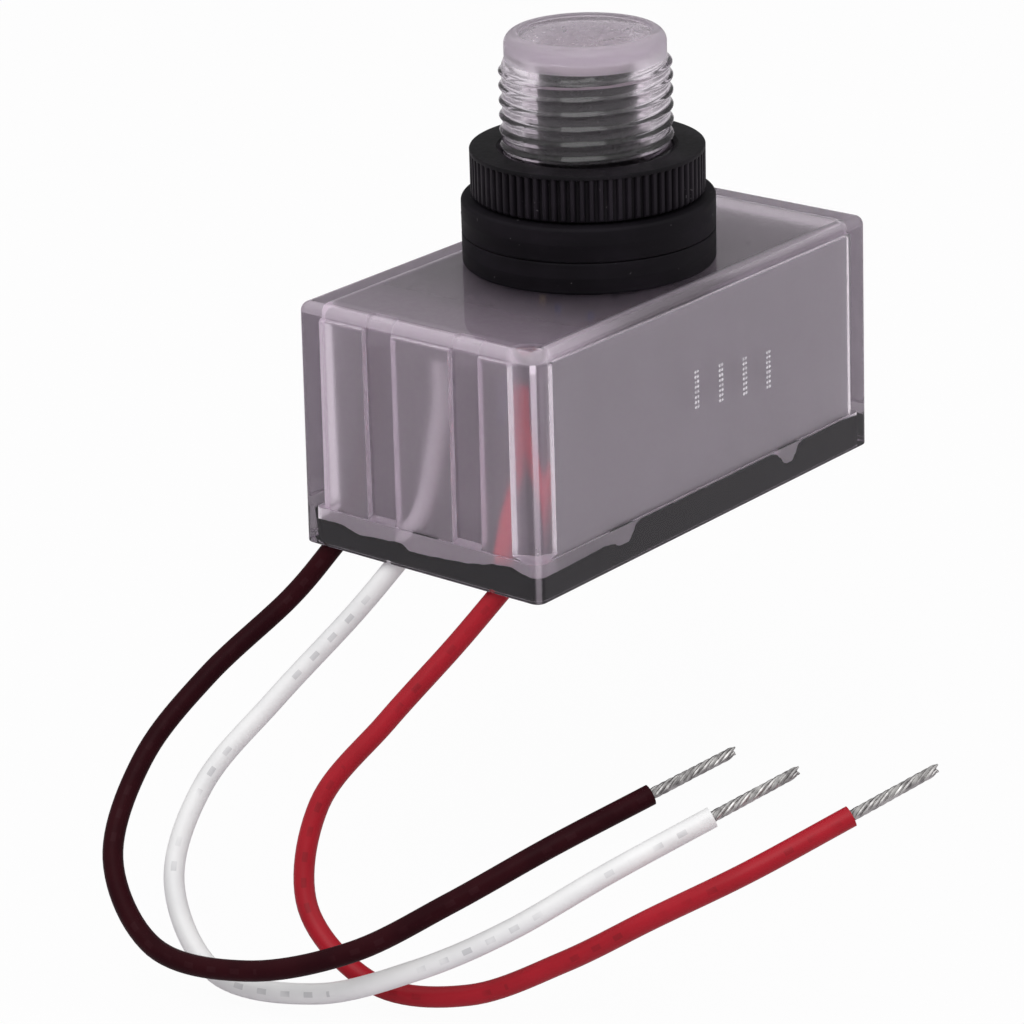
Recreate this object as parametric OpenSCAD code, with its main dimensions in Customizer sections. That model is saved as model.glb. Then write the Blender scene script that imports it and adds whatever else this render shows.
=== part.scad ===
// Photocell switch: a clear moulded box with a threaded nose, held in a knockout by a knurled
// lock nut between two rubber gaskets, with three stripped leads from its potted base.
// The origin is on the nose axis at the clamped wall, +Z runs out through the nose and +X
// runs along the box, away from the end where the leads come out. Lengths are in millimetres.

/* [Housing box] */
// Length of the box at its roof
box_l = 67; // [60:0.5:76]
// Width of the box at its roof
box_w = 36; // [34:0.5:42]
// Height of the box from roof to rim
box_h = 30.5; // [28:0.5:36]
// Thickness of the roof and walls
wall = 2; // [1.6:0.1:2.4]
// Thickness of the rim below the inner ledge
rim_wall = 1.3; // [1:0.1:1.5]
// Height of the inner ledge above the rim's edge
ledge_h = 4.5; // [4:0.1:6]
// Mould draft of the walls in degrees
draft = 0.5; // [0:0.1:1]
// Rounding of the outer edges
edge_r = 1.2; // [0.8:0.1:1.8]

/* [Nose] */
// Crest diameter of the half-inch straight pipe thread
thread_d = 21.1; // [20:0.1:22]
// Height of the nose above the roof
nose_h = 28.4; // [25:0.1:34]
// Diameter of the plain collar at the tip
collar_d = 19.6; // [18.4:0.1:19.8]
// Height of the plain collar at the tip
collar_h = 3.2; // [2:0.1:4]
// Rounding of the collar's outer edge
tip_round = 1.5; // [0.4:0.1:1.6]
// Bore that holds the sensor
nose_bore_d = 15.5; // [14.5:0.1:16.5]
// Thickness of the window that closes the nose
window_t = 2.4; // [1.6:0.1:3]
// Diameter of the shallow recess in the window
recess_d = 16.2; // [14:0.1:17]
// Depth of the shallow recess in the window
recess_depth = 0.4; // [0.2:0.1:0.8]

/* [Lead bay] */
// Width of each rib that parts the leads
rib_w = 4.2; // [3:0.1:5]
// Depth of each rib from the end wall
rib_depth = 1.8; // [1:0.1:2]
// Distance of each rib's middle from the centre line
rib_y = 6.6; // [6:0.1:7.5]
// Height of each rib's foot above the ledge
rib_lift = 0.4; // [0.3:0.1:4]

/* [Gaskets and lock nut] */
// Diameter of both rubber gaskets
gasket_d = 31; // [28:0.1:34]
// Thickness of the gasket on the box
lower_gasket_t = 3.8; // [2:0.1:5]
// Thickness of the gasket under the nut
upper_gasket_t = 4.1; // [2:0.1:5]
// Rounding of the gaskets' outer edges
gasket_edge_r = 0.4; // [0.2:0.1:1]
// Diameter over the ribs of the lock nut
nut_d = 28.6; // [26:0.1:30]
// Height of the lock nut
nut_h = 5.8; // [5:0.1:8]
// Number of ribs round the lock nut
nut_ribs = 78; // [48:2:90]
// Height of the ribs
nut_rib_h = 0.55; // [0.3:0.05:0.8]
// Height of the plain band above the ribs
nut_band = 0.5; // [0.4:0.1:1.2]
// Lead-in of the nut's bore
nut_lead_in = 0.3; // [0.2:0.1:1]
// Gap left between the pieces of the clamp before it is tightened
clamp_gap = 0.3; // [0.2:0.05:0.6]

/* [Base and potting] */
// Thickness of the base plate
plate_t = 1.5; // [1:0.1:2]
// Width of the gap round the base plate that the potting fills
plate_gap = 1.2; // [0.8:0.1:1.6]
// Width of the base plate's tabs at the top
tab_w = 4.4; // [3:0.1:4.8]
// Height of the base plate's tabs
tab_h = 2.2; // [1.8:0.1:2.8]
// Distance of the side tabs from the middle
side_tab_x = 17; // [14:0.5:18]
// Depth of the potting's face inside the rim
pot_recess = 0.1; // [0.1:0.1:0.6]
// Diameter of the posts that carry the circuit board
post_d = 3.6; // [3:0.1:4.2]

/* [Circuit board and liner] */
// Thickness of the circuit board
board_t = 1.6; // [1:0.1:2]
// Space between the roof and the circuit board
board_drop = 1.9; // [1.6:0.1:2.6]
// Thickness of the insulating liner
liner_t = 0.4; // [0.3:0.05:0.6]

/* [Sensor] */
// Outer diameter of the sensor tube
tube_d = 12.4; // [11.8:0.1:13.2]
// Wall of the sensor tube
tube_wall = 0.9; // [0.6:0.1:1.2]
// Diameter of the photocell
cell_d = 11; // [9:0.1:11.4]
// Thickness of the photocell
cell_t = 2; // [1.6:0.1:2.6]

/* [Board parts] */
// Rounding of the upright edges of the relay and the film capacitor
case_r = 0.8; // [0.3:0.1:1.5]
// Length of the relay
relay_l = 19; // [17:0.5:20]
// Width of the relay
relay_w = 15.4; // [13:0.1:16]
// Height of the relay
relay_h = 15.3; // [12:0.1:16]
// Length of the film capacitor
film_l = 18; // [15:0.5:19]
// Width of the film capacitor
film_w = 7.5; // [5:0.1:8]
// Height of the film capacitor
film_h = 13.5; // [10:0.1:15]
// Diameter of the smoothing capacitor
can_d = 8; // [6.3:0.1:8.4]
// Height of the smoothing capacitor
can_h = 12; // [9:0.5:15]
// Diameter of the varistor disc
disc_d = 9.5; // [7:0.1:10]
// Thickness of the varistor disc
disc_t = 4; // [3:0.1:4.5]
// Diameter of the rectifier diodes
diode_d = 2.6; // [2:0.1:2.8]
// Diameter of the resistors
resistor_d = 2.4; // [1.8:0.1:2.8]
// Diameter of the transistor's round back
transistor_d = 4.6; // [4:0.1:5]

/* [Leads] */
// Distance of the black lead from the box's far side
black_inset = 3.25; // [3:0.05:4]
// Distance of the white lead from the centre line
white_offset = 5; // [4.8:0.1:5.2]
// Distance of the red lead from the box's near side
red_inset = 7.25; // [6.5:0.05:8]
// Outer diameter of each lead
lead_d = 2.5; // [2:0.1:2.8]
// Length of the stripped end of each lead
strip_l = 11.5; // [8:0.5:14]
// Thickness of the twisted strands
strand_d = 1.4; // [1:0.1:1.6]

/* [Hidden] */
$fn = 48;
hull_fn = 32;
eps = 0.01;

// Fits between neighbouring pieces
thread_clear = 0.15;
gasket_clear = 0.3;
tab_clear = 0.1;
liner_clear = 0.2;
pin_clear = 0.1;
lead_clear = 0.5;
pot_clear = 0.03;
cell_clear = 0.3;
relay_clear = 0.817;

// Least width of the lip between the collar's rounding and the recess
lip_w = 0.2;

// How far the nut's plain band stands out past its ribs
band_proud = 0.05;

// Heights of the main faces
roof_z = -lower_gasket_t - clamp_gap / 2;
rim_z = roof_z - box_h;
ceiling_z = roof_z - wall;
ledge_z = rim_z + ledge_h;
tip_z = roof_z + nose_h;
window_z = tip_z - window_t;
board_top_z = ceiling_z - board_drop;
board_z = board_top_z - board_t;
plate_z = ledge_z - plate_t;
pot_face_z = rim_z + pot_recess;
nut_z = clamp_gap / 2 + upper_gasket_t + clamp_gap;

// Half sizes of the drafted box at a height, outside and on the inner face of a wall
function half_l(z) = box_l / 2 + (roof_z - z) * tan(draft);
function half_w(z) = box_w / 2 + (roof_z - z) * tan(draft);

// Base plate, its lead notches and its tabs
plate_l = 2 * (half_l(ledge_z) - rim_wall - plate_gap);
plate_w = 2 * (half_w(ledge_z) - rim_wall - plate_gap);
tab_taper = 0.8;
pot_top_z = ledge_z - clamp_gap;
dip_r = tab_w * 0.7;

// Circuit board between the liner's sides, and the posts that hold it
liner_w = 2 * (half_w(ceiling_z) - wall - liner_clear);
liner_x0 = -(half_l(ceiling_z) - wall - 2.6);
liner_x1 = half_l(ceiling_z) - wall - liner_clear;
board_x0 = -(half_l(ceiling_z) - wall - 4.5);
board_x1 = liner_x1 - liner_clear;
board_w = liner_w - 2 * liner_t - 2;
posts = [
  for (s = [-1, 1])
  each [[board_x0 + 3, s * 8], [board_x1 - 3, s * (board_w / 2 - 2)]]
];

// Sensor tube from the board to the photocell under the window
cell_top_z = window_z - cell_clear;
tube_top_z = cell_top_z - cell_t;
cell_leg_pitch = 3.4;

// Legs of the board parts
leg_d = 0.7;
pin_d = 1;
leg_proud = 0.9;

// Middles of the board parts, measured from the nose axis
relay_at = [12.5, 5.4];
film_at = [12.5, -9.4];
can_at = [-4.2, -8.6];
disc_at = [-14, -8.6];
transistor_at = [relay_at[0] + relay_l / 2 + relay_clear + transistor_d / 2, 0.5];
diode_x = -12;
diode_ys = [1.4, 4.9, 8.4, 11.9];
diode_l = 5.2;
diode_span = 10.2;
resistors_along_y = [[-3.2, 7]];
resistors_along_x = [[-7, -2.2]];
resistor_l = 6.5;
resistor_span = 10;
relay_pins = [[-5.5, -6], [-5.5, 6], [-7.5, 0], [7.5, -6], [7.5, 6]];
film_pins = [[-7.5, 0], [7.5, 0]];
can_pins = [[-1.75, 0], [1.75, 0]];
disc_pins = [[0, -2.5], [0, 2.5]];
transistor_pins = [[0, -1.6], [0, 0], [0, 1.6]];

// Leads: the exit of each on the potting's face, then the points that its route passes through
lead_sides = 8;
lead_steps = 2;
lead_x = -(half_l(rim_z) - rim_wall - lead_d / 2 - 0.2);
black_exit = [lead_x, half_w(rim_z) - black_inset, pot_face_z];
white_exit = [lead_x, white_offset, pot_face_z];
red_exit = [lead_x, red_inset - half_w(rim_z), pot_face_z];
black_route = [
  [0, 0, 0], [-5, 4, -7], [-15, 9, -15], [-25, 11, -23], [-34, 8, -32], [-38, -2, -39],
  [-36, -15, -39], [-31, -27, -35], [-24, -36, -29], [-15, -44, -23], [-4, -50, -19]
];
white_route = [
  [0, 0, 0], [-5, 4, -7], [-14, 9, -16], [-23, 13, -25], [-30, 12, -35], [-33, 3, -43],
  [-30, -10, -43], [-26, -22, -38], [-21, -32, -32], [-13, -41, -25], [-3, -48, -20]
];
red_route = [
  [0, 0, 0], [-5, 4, -7], [-12, 9, -15.5], [-19, 14, -25], [-24, 12, -36], [-24, 2, -43],
  [-21, -10, -42], [-17, -21, -36], [-13, -31, -29], [-7, -40, -23], [3, -47, -18]
];

// Tail of each lead: it leans in from the exit, then stands up to the board's underside
board_rise = board_z - pot_face_z;
tail_route = [
  [0, 0, 0], [2, -2.5, 6], [4.5, -2.5, 12], [6.5, -2.5, board_rise - 6], [6.5, -2.5, board_rise]
];
red_tail_route = [
  [0, 0, 0], [1, -0.5, 6], [3, -1.5, 12], [6, -2.5, board_rise - 6], [6, -2.5, board_rise]
];
tails = [[black_exit, tail_route], [white_exit, tail_route], [red_exit, red_tail_route]];
function lean(route) = route[1] / route[1][2];

// Smooth curve through a route's points, square to the potting's face at its start
function curve_at(a, b, c, d, t) =
  b + (c - a) * t / 2 + (2 * a - 5 * b + 4 * c - d) * t * t / 2 + (3 * b - a - 3 * c + d) * t * t * t / 2;
function before(p, i) = i > 0 ? p[i - 1] : [p[1][0], p[1][1], -p[1][2]];
function after(p, i) = i + 2 < len(p) ? p[i + 2] : 2 * p[i + 1] - p[i];
function curve(p) = concat(
  [
    for (i = [0:len(p) - 2], k = [0:lead_steps - 1])
    curve_at(before(p, i), p[i], p[i + 1], after(p, i), k / lead_steps)
  ],
  [p[len(p) - 1]]
);

// Vectors and frames along a route
function unit(v) = v / norm(v);
function joint_dir(p, i) = unit(unit(p[i + 1] - p[i]) + unit(p[i] - p[i - 1]));
function end_dir(p) = unit(p[len(p) - 1] - p[len(p) - 2]);
function dir_at(p, i, first) =
  i == 0 ? first : i == len(p) - 1 ? end_dir(p) : joint_dir(p, i);
function square_to(u, t) = unit(u - (u * t) * t);
function frames(p, first, i, u) =
  i == len(p) ? [] :
  let (t = dir_at(p, i, first), n = square_to(u, t))
  concat([[p[i], n, cross(t, n)]], frames(p, first, i + 1, n));
function ring(f, r, sides) =
  [for (k = [0:sides - 1]) f[0] + r * (cos(360 * k / sides) * f[1] + sin(360 * k / sides) * f[2])];
function moved(route, by) = [for (p = route) p + by];

// Tube of one radius swept along a list of points, with its first end square to a direction
module tube_along(route, r, first) {
  rings = [for (f = frames(route, first, 0, [1, 0, 0])) ring(f, r, lead_sides)];
  count = len(rings);
  last = (count - 1) * lead_sides;
  sides = [
    for (i = [0:count - 2], k = [0:lead_sides - 1])
    let (a = i * lead_sides + k, b = i * lead_sides + (k + 1) % lead_sides)
    each [[a, a + lead_sides, b], [b, a + lead_sides, b + lead_sides]]
  ];
  start_cap = [[for (k = [0:lead_sides - 1]) k]];
  end_cap = [[for (k = [lead_sides - 1:-1:0]) last + k]];
  polyhedron(points = [for (r = rings) each r], faces = concat(start_cap, sides, end_cap));
}

// Block with drafted walls between two heights, inside the outer faces by an inset
module drafted_block(z0, z1, inset) {
  hull() {
    for (z = [z0, z1 - eps])
      translate([-half_l(z) + inset, -half_w(z) + inset, z])
        cube([2 * (half_l(z) - inset), 2 * (half_w(z) - inset), eps]);
  }
}

// Outer box: drafted walls, rounded corners and a rounded roof edge
module outer_box() {
  hull() {
    for (sx = [-1, 1], sy = [-1, 1]) {
      translate([sx * (half_l(rim_z) - edge_r), sy * (half_w(rim_z) - edge_r), rim_z])
        cylinder(h = eps, r = edge_r, $fn = hull_fn);
      translate([sx * (box_l / 2 - edge_r), sy * (box_w / 2 - edge_r), roof_z - edge_r])
        sphere(r = edge_r, $fn = hull_fn);
    }
  }
}

// Solid of the nose: threaded length, plain collar with a rounded edge, recessed window
module nose_solid() {
  crest_r = thread_d / 2;
  collar_r = collar_d / 2;
  round_r = min(tip_round, (collar_d - recess_d) / 2 - lip_w);
  collar_z = tip_z - collar_h;
  arc = [
    for (a = [0:15:90])
    [collar_r - round_r + round_r * cos(a), tip_z - round_r + round_r * sin(a)]
  ];
  rotate_extrude($fn = 96)
    polygon(concat(
      [[0, ceiling_z], [crest_r, ceiling_z], [crest_r, collar_z - (crest_r - collar_r)]],
      [[collar_r, collar_z]],
      arc,
      [[recess_d / 2, tip_z], [recess_d / 2, tip_z - recess_depth], [0, tip_z - recess_depth]]
    ));
}

// Ribs on the end wall that part the three leads
module lead_ribs() {
  for (s = [-1, 1])
    translate([-half_l(ceiling_z) + wall / 2, s * rib_y - rib_w / 2, ledge_z + rib_lift])
      cube([wall / 2 + rib_depth, rib_w, ceiling_z - ledge_z - rib_lift + eps]);
}

module housing() {
  color([0.78, 0.75, 0.8, 0.45]) {
    difference() {
      union() {
        outer_box();
        nose_solid();
      }
      drafted_block(ledge_z, ceiling_z, wall);
      drafted_block(rim_z - 1, ledge_z + eps, rim_wall);
      translate([0, 0, ceiling_z - 1])
        cylinder(h = window_z - ceiling_z + 1, d = nose_bore_d, $fn = 96);
    }
    lead_ribs();
  }
}

// Outline of the nut: straight ribs with narrow flats between them
module nut_outline() {
  step = 360 / nut_ribs;
  crest_r = nut_d / 2;
  root_r = crest_r - nut_rib_h;
  polygon([
    for (i = [0:nut_ribs - 1], c = [[0, root_r], [0.3, root_r], [0.45, crest_r], [0.85, crest_r]])
    let (a = (i + c[0]) * step)
    c[1] * [cos(a), sin(a)]
  ]);
}

// Turned envelope that bevels the ribs at the foot and breaks the edge of the plain band
module nut_envelope() {
  r = nut_d / 2 + band_proud;
  bevel = nut_rib_h * 0.8;
  break_edge = nut_band / 3;
  rotate_extrude($fn = 96)
    polygon([
      [0, 0], [r - bevel, 0], [r, bevel], [r, nut_h - break_edge], [r - break_edge, nut_h], [0, nut_h]
    ]);
}

module lock_nut() {
  bore_r = thread_d / 2 + thread_clear;
  color([0.06, 0.06, 0.065])
    translate([0, 0, nut_z])
      difference() {
        intersection() {
          union() {
            linear_extrude(nut_h - nut_band) nut_outline();
            translate([0, 0, nut_h - nut_band])
              cylinder(h = nut_band, r = nut_d / 2 + band_proud, $fn = 96);
          }
          nut_envelope();
        }
        translate([0, 0, -1])
          cylinder(h = nut_h + 2, r = bore_r, $fn = 96);
        translate([0, 0, nut_h - nut_lead_in])
          cylinder(h = nut_lead_in + eps, r1 = bore_r, r2 = bore_r + nut_lead_in, $fn = 96);
      }
}

// Flat rubber ring with rounded outer edges
module gasket(z, t) {
  outer_r = gasket_d / 2;
  bore_r = thread_d / 2 + gasket_clear;
  corner = [outer_r - gasket_edge_r, gasket_edge_r];
  low_arc = [for (a = [-90:15:0]) corner + gasket_edge_r * [cos(a), sin(a)]];
  high_arc = [for (i = [len(low_arc) - 1:-1:0]) [low_arc[i][0], t - low_arc[i][1]]];
  translate([0, 0, z])
    rotate_extrude($fn = 96)
      polygon(concat([[bore_r, 0]], low_arc, high_arc, [[bore_r, t]]));
}

module upper_gasket() {
  color([0.09, 0.09, 0.1]) gasket(clamp_gap / 2, upper_gasket_t);
}

module lower_gasket() {
  color([0.09, 0.09, 0.1]) gasket(roof_z, lower_gasket_t);
}

// Tapered tabs from the plate's edge out to the rim, one on each end and two on each side
module plate_tabs(grow) {
  reach = rim_wall + tab_clear - grow;
  low_w = tab_w - 2 * tab_taper;
  outline = [
    [-tab_w / 2 - grow, 0], [tab_w / 2 + grow, 0],
    [low_w / 2 + grow, -tab_h - grow], [-low_w / 2 - grow, -tab_h - grow]
  ];
  depth = plate_gap + 0.6 - tab_clear + grow;
  for (s = [-1, 1]) {
    translate([s * (half_l(ledge_z) - reach), 0, ledge_z])
      rotate([90, 0, s > 0 ? -90 : 90])
        linear_extrude(depth) polygon(outline);
    for (x = [-side_tab_x, side_tab_x])
      translate([x, s * (half_w(ledge_z) - reach), ledge_z])
        rotate([90, 0, s > 0 ? 0 : 180])
          linear_extrude(depth) polygon(outline);
  }
}

// Notches in the plate's end that the leads pass through
module lead_notches() {
  notch_r = lead_d / 2 + lead_clear;
  rise = plate_z + plate_t / 2 - pot_face_z;
  for (t = tails) {
    at = t[0] + rise * lean(t[1]);
    translate([at[0], at[1], plate_z - 1]) {
      cylinder(h = plate_t + 2, r = notch_r);
      translate([-plate_gap - lead_d, -notch_r, 0])
        cube([plate_gap + lead_d, 2 * notch_r, plate_t + 2]);
    }
  }
}

module base_plate() {
  color([0.8, 0.78, 0.82, 0.6]) {
    difference() {
      union() {
        translate([-plate_l / 2, -plate_w / 2, plate_z])
          cube([plate_l, plate_w, plate_t]);
        plate_tabs(0);
      }
      lead_notches();
    }
    for (p = posts)
      translate([p[0], p[1], ledge_z - eps])
        cylinder(h = board_z - ledge_z + eps, d = post_d);
  }
}

// Resin that seals the base: it fills the rim, rises round the plate and dips at each tab
module potting() {
  color([0.05, 0.05, 0.055])
    difference() {
      drafted_block(pot_face_z, pot_top_z, rim_wall);
      translate([-plate_l / 2, -plate_w / 2, plate_z])
        cube([plate_l, plate_w, plate_t + 1]);
      plate_tabs(pot_clear);
      for (s = [-1, 1]) {
        translate([s * half_l(ledge_z), 0, pot_top_z + dip_r * 0.6])
          rotate([0, 90, 0])
            cylinder(h = 4 * plate_gap, r = dip_r, center = true);
        for (x = [-side_tab_x, side_tab_x])
          translate([x, s * half_w(ledge_z), pot_top_z + dip_r * 0.6])
            rotate([90, 0, 0])
              cylinder(h = 4 * plate_gap, r = dip_r, center = true);
      }
      for (t = tails)
        tube_along([t[0] - lean(t[1]), t[0] + t[1][1]], lead_d / 2 + pot_clear, [0, 0, 1]);
    }
}

// Channel of insulating sheet round the board parts
module liner() {
  floor_x0 = board_x0 + 5;
  side_h = ceiling_z - liner_clear - ledge_z;
  color([0.47, 0.46, 0.48]) {
    difference() {
      translate([floor_x0, -liner_w / 2 + eps, ledge_z])
        cube([liner_x1 - floor_x0, liner_w - 2 * eps, liner_t]);
      for (p = posts)
        translate([p[0], p[1], ledge_z - 1])
          cylinder(h = liner_t + 2, d = post_d + 2 * liner_clear);
    }
    for (s = [-1, 1])
      translate([liner_x0, s * (liner_w - liner_t) / 2 - liner_t / 2, ledge_z])
        cube([liner_x1 - liner_x0, liner_t, side_h]);
  }
}

// Holes through the board for a set of legs
module leg_holes(at, pins, d) {
  for (p = pins)
    translate([at[0] + p[0], at[1] + p[1], board_z - 1])
      cylinder(h = board_t + 2, d = d + 2 * pin_clear, $fn = 24);
}

// Legs of a hanging part, from below the board up through it
module legs(at, pins, d, low_z) {
  for (p = pins)
    translate([at[0] + p[0], at[1] + p[1], low_z])
      cylinder(h = board_top_z + leg_proud - low_z, d = d, $fn = 24);
}

// Ends of the wires of a part that lies along X or along Y
function span_pins(span, along_y) =
  along_y ? [[0, -span / 2], [0, span / 2]] : [[-span / 2, 0], [span / 2, 0]];

module circuit_board() {
  cell_legs = [[0, -cell_leg_pitch / 2], [0, cell_leg_pitch / 2]];
  color([0.44, 0.45, 0.43])
    difference() {
      translate([board_x0, -board_w / 2, board_z])
        cube([board_x1 - board_x0, board_w, board_t]);
      leg_holes(relay_at, relay_pins, pin_d);
      leg_holes(film_at, film_pins, leg_d);
      leg_holes(can_at, can_pins, leg_d);
      leg_holes(disc_at, disc_pins, leg_d);
      leg_holes(transistor_at, transistor_pins, leg_d);
      leg_holes([0, 0], cell_legs, leg_d);
      for (y = diode_ys)
        leg_holes([diode_x, y], span_pins(diode_span, false), leg_d);
      for (at = resistors_along_y)
        leg_holes(at, span_pins(resistor_span, true), leg_d);
      for (at = resistors_along_x)
        leg_holes(at, span_pins(resistor_span, false), leg_d);
    }
}

// Black tube that shades the photocell's sides and stands on the board
module sensor_tube() {
  color([0.05, 0.05, 0.055])
    translate([0, 0, board_top_z])
      difference() {
        cylinder(h = tube_top_z - board_top_z, d = tube_d, $fn = 64);
        translate([0, 0, -1])
          cylinder(h = tube_top_z - board_top_z + 2, d = tube_d - 2 * tube_wall, $fn = 64);
      }
}

// Photocell: a disc on top of the tube with two legs down through the board
module photocell() {
  color([0.72, 0.6, 0.55]) {
    translate([0, 0, tube_top_z])
      cylinder(h = cell_t, d = cell_d, $fn = 64);
    for (s = [-1, 1])
      translate([0, s * cell_leg_pitch / 2, board_z - leg_proud])
        cylinder(h = tube_top_z - board_z + leg_proud + eps, d = leg_d, $fn = 24);
  }
}

// Rectangle with round corners, about its middle
module round_rectangle(l, w, r) {
  polygon([
    for (q = [0:3], a = [0:18:90])
    let (sx = q == 0 || q == 3 ? 1 : -1, sy = q < 2 ? 1 : -1, turn = q * 90 + a)
    [sx * (l / 2 - r) + r * cos(turn), sy * (w / 2 - r) + r * sin(turn)]
  ]);
}

// Case of a part that hangs under the board
module hung_case(at, size) {
  translate([at[0], at[1], board_z - size[2]])
    linear_extrude(size[2]) round_rectangle(size[0], size[1], case_r);
}

// Relay: a case on a raised foot, with five pins
module relay() {
  foot = 0.4;
  color([0.1, 0.16, 0.32]) {
    translate([0, 0, -foot])
      hung_case(relay_at, [relay_l, relay_w, relay_h - foot]);
    hung_case(relay_at, [relay_l - 6, relay_w - 6, foot + eps]);
    legs(relay_at, relay_pins, pin_d, board_z - foot - 1);
  }
}

module film_capacitor() {
  color([0.55, 0.14, 0.1]) {
    hung_case(film_at, [film_l, film_w, film_h]);
    legs(film_at, film_pins, leg_d, board_z - 1);
  }
}

// Smoothing capacitor: a can with a rolled groove near its seal
module smoothing_capacitor() {
  groove_r = 0.4;
  groove_z = 1.8;
  color([0.12, 0.13, 0.18]) {
    translate([can_at[0], can_at[1], board_z - can_h])
      difference() {
        cylinder(h = can_h, d = can_d);
        translate([0, 0, can_h - groove_z])
          rotate_extrude()
            translate([can_d / 2, 0])
              circle(r = groove_r, $fn = 24);
      }
    legs(can_at, can_pins, leg_d, board_z - 1);
  }
}

// Varistor: a dipped disc that hangs on its edge
module varistor() {
  stand_off = 1;
  color([0.12, 0.25, 0.5]) {
    translate([disc_at[0] - disc_t / 2, disc_at[1], board_z - stand_off - disc_d / 2])
      rotate([0, 90, 0])
        cylinder(h = disc_t, d = disc_d);
    legs(disc_at, disc_pins, leg_d, board_z - stand_off - disc_d / 3);
  }
}

// Round part that lies under the board, with its wires bent up through it
module lying_part(at, d, body_l, span, along_y) {
  z = board_z - d / 2 - pin_clear;
  wire_d = leg_d * 0.8;
  translate([at[0], at[1], z])
    rotate(along_y ? [90, 0, 0] : [0, 90, 0]) {
      cylinder(h = body_l, d = d, center = true, $fn = 32);
      cylinder(h = span, d = wire_d, center = true, $fn = 24);
    }
  legs(at, span_pins(span, along_y), leg_d, z - leg_d / 2);
}

module rectifier_diodes() {
  color([0.1, 0.1, 0.1])
    for (y = diode_ys)
      lying_part([diode_x, y], diode_d, diode_l, diode_span, false);
}

module resistors() {
  color([0.75, 0.62, 0.42]) {
    for (at = resistors_along_y)
      lying_part(at, resistor_d, resistor_l, resistor_span, true);
    for (at = resistors_along_x)
      lying_part(at, resistor_d, resistor_l, resistor_span, false);
  }
}

// Transistor: a round back with a flat face, on three legs
module transistor() {
  body_h = 4.6;
  stand_off = 1.5;
  flat = transistor_d * 0.3;
  color([0.08, 0.08, 0.085]) {
    translate([transistor_at[0], transistor_at[1], board_z - stand_off - body_h])
      difference() {
        cylinder(h = body_h, d = transistor_d);
        translate([flat, -transistor_d, -1])
          cube([transistor_d, 2 * transistor_d, body_h + 2]);
      }
    legs(transistor_at, transistor_pins, leg_d, board_z - stand_off - 1);
  }
}

// Free length of a lead, from the potting's face to its stripped end
module lead(exit, route) {
  tube_along(moved(curve(route), exit), lead_d / 2, [0, 0, -1]);
}

// Length of a lead inside, from the potting's face to the board
module tail(exit, route) {
  tube_along(moved(route, exit), lead_d / 2, [0, 0, 1]);
}

// Bare strands twisted together at the end of a lead
module strands(exit, route) {
  aim = end_dir(curve(route));
  strand_r = strand_d / 4;
  twist_pitch = 6;
  translate(exit + route[len(route) - 1])
    rotate([0, acos(aim[2]), atan2(aim[1], aim[0])])
      linear_extrude(height = strip_l, twist = -360 * strip_l / twist_pitch, slices = 16)
        for (a = [0, 120, 240])
          rotate(a)
            translate([strand_r * 0.95, 0])
              circle(r = strand_r, $fn = 8);
}

module black_lead() { color([0.1, 0.07, 0.08]) lead(black_exit, black_route); }
module white_lead() { color([0.9, 0.9, 0.91]) lead(white_exit, white_route); }
module red_lead() { color([0.67, 0.1, 0.15]) lead(red_exit, red_route); }
module black_tail() { color([0.1, 0.07, 0.08]) tail(black_exit, tail_route); }
module white_tail() { color([0.9, 0.9, 0.91]) tail(white_exit, tail_route); }
module red_tail() { color([0.67, 0.1, 0.15]) tail(red_exit, red_tail_route); }
module black_strands() { color([0.75, 0.75, 0.77]) strands(black_exit, black_route); }
module white_strands() { color([0.75, 0.75, 0.77]) strands(white_exit, white_route); }
module red_strands() { color([0.75, 0.75, 0.77]) strands(red_exit, red_route); }

housing();
lock_nut();
upper_gasket();
lower_gasket();
base_plate();
potting();
liner();
circuit_board();
sensor_tube();
photocell();
relay();
film_capacitor();
smoothing_capacitor();
varistor();
rectifier_diodes();
resistors();
transistor();
black_lead();
white_lead();
red_lead();
black_tail();
white_tail();
red_tail();
black_strands();
white_strands();
red_strands();
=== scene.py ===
import logging
import math
from dataclasses import dataclass
from enum import Enum
from itertools import product
from typing import Any, Callable, Iterable, Sequence

import bmesh
import bpy
from mathutils import Matrix, Vector
from mathutils.noise import noise


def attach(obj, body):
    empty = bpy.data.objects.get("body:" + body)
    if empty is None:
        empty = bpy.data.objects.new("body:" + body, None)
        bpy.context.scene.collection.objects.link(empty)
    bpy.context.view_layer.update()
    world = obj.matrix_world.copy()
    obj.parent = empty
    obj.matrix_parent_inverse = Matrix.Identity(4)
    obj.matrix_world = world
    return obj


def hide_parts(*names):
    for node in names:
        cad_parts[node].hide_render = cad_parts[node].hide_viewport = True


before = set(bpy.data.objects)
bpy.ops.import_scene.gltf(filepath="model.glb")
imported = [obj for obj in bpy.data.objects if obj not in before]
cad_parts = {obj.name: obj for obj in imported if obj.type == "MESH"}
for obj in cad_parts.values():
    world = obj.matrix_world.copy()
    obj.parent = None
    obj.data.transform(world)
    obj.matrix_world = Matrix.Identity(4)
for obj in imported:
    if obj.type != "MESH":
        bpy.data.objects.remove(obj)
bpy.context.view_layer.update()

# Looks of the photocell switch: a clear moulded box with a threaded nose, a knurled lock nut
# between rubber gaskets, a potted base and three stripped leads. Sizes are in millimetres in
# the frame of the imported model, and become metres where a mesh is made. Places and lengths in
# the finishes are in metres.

log = logging.getLogger("photocell_switch")

MM = 0.001
TAU = 2 * math.pi
# Thread of the nose: rise of one turn, and radii at its crests and roots
PITCH = 25.4 / 14
CREST_R = 10.55
ROOT_R = 10.15
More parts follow.
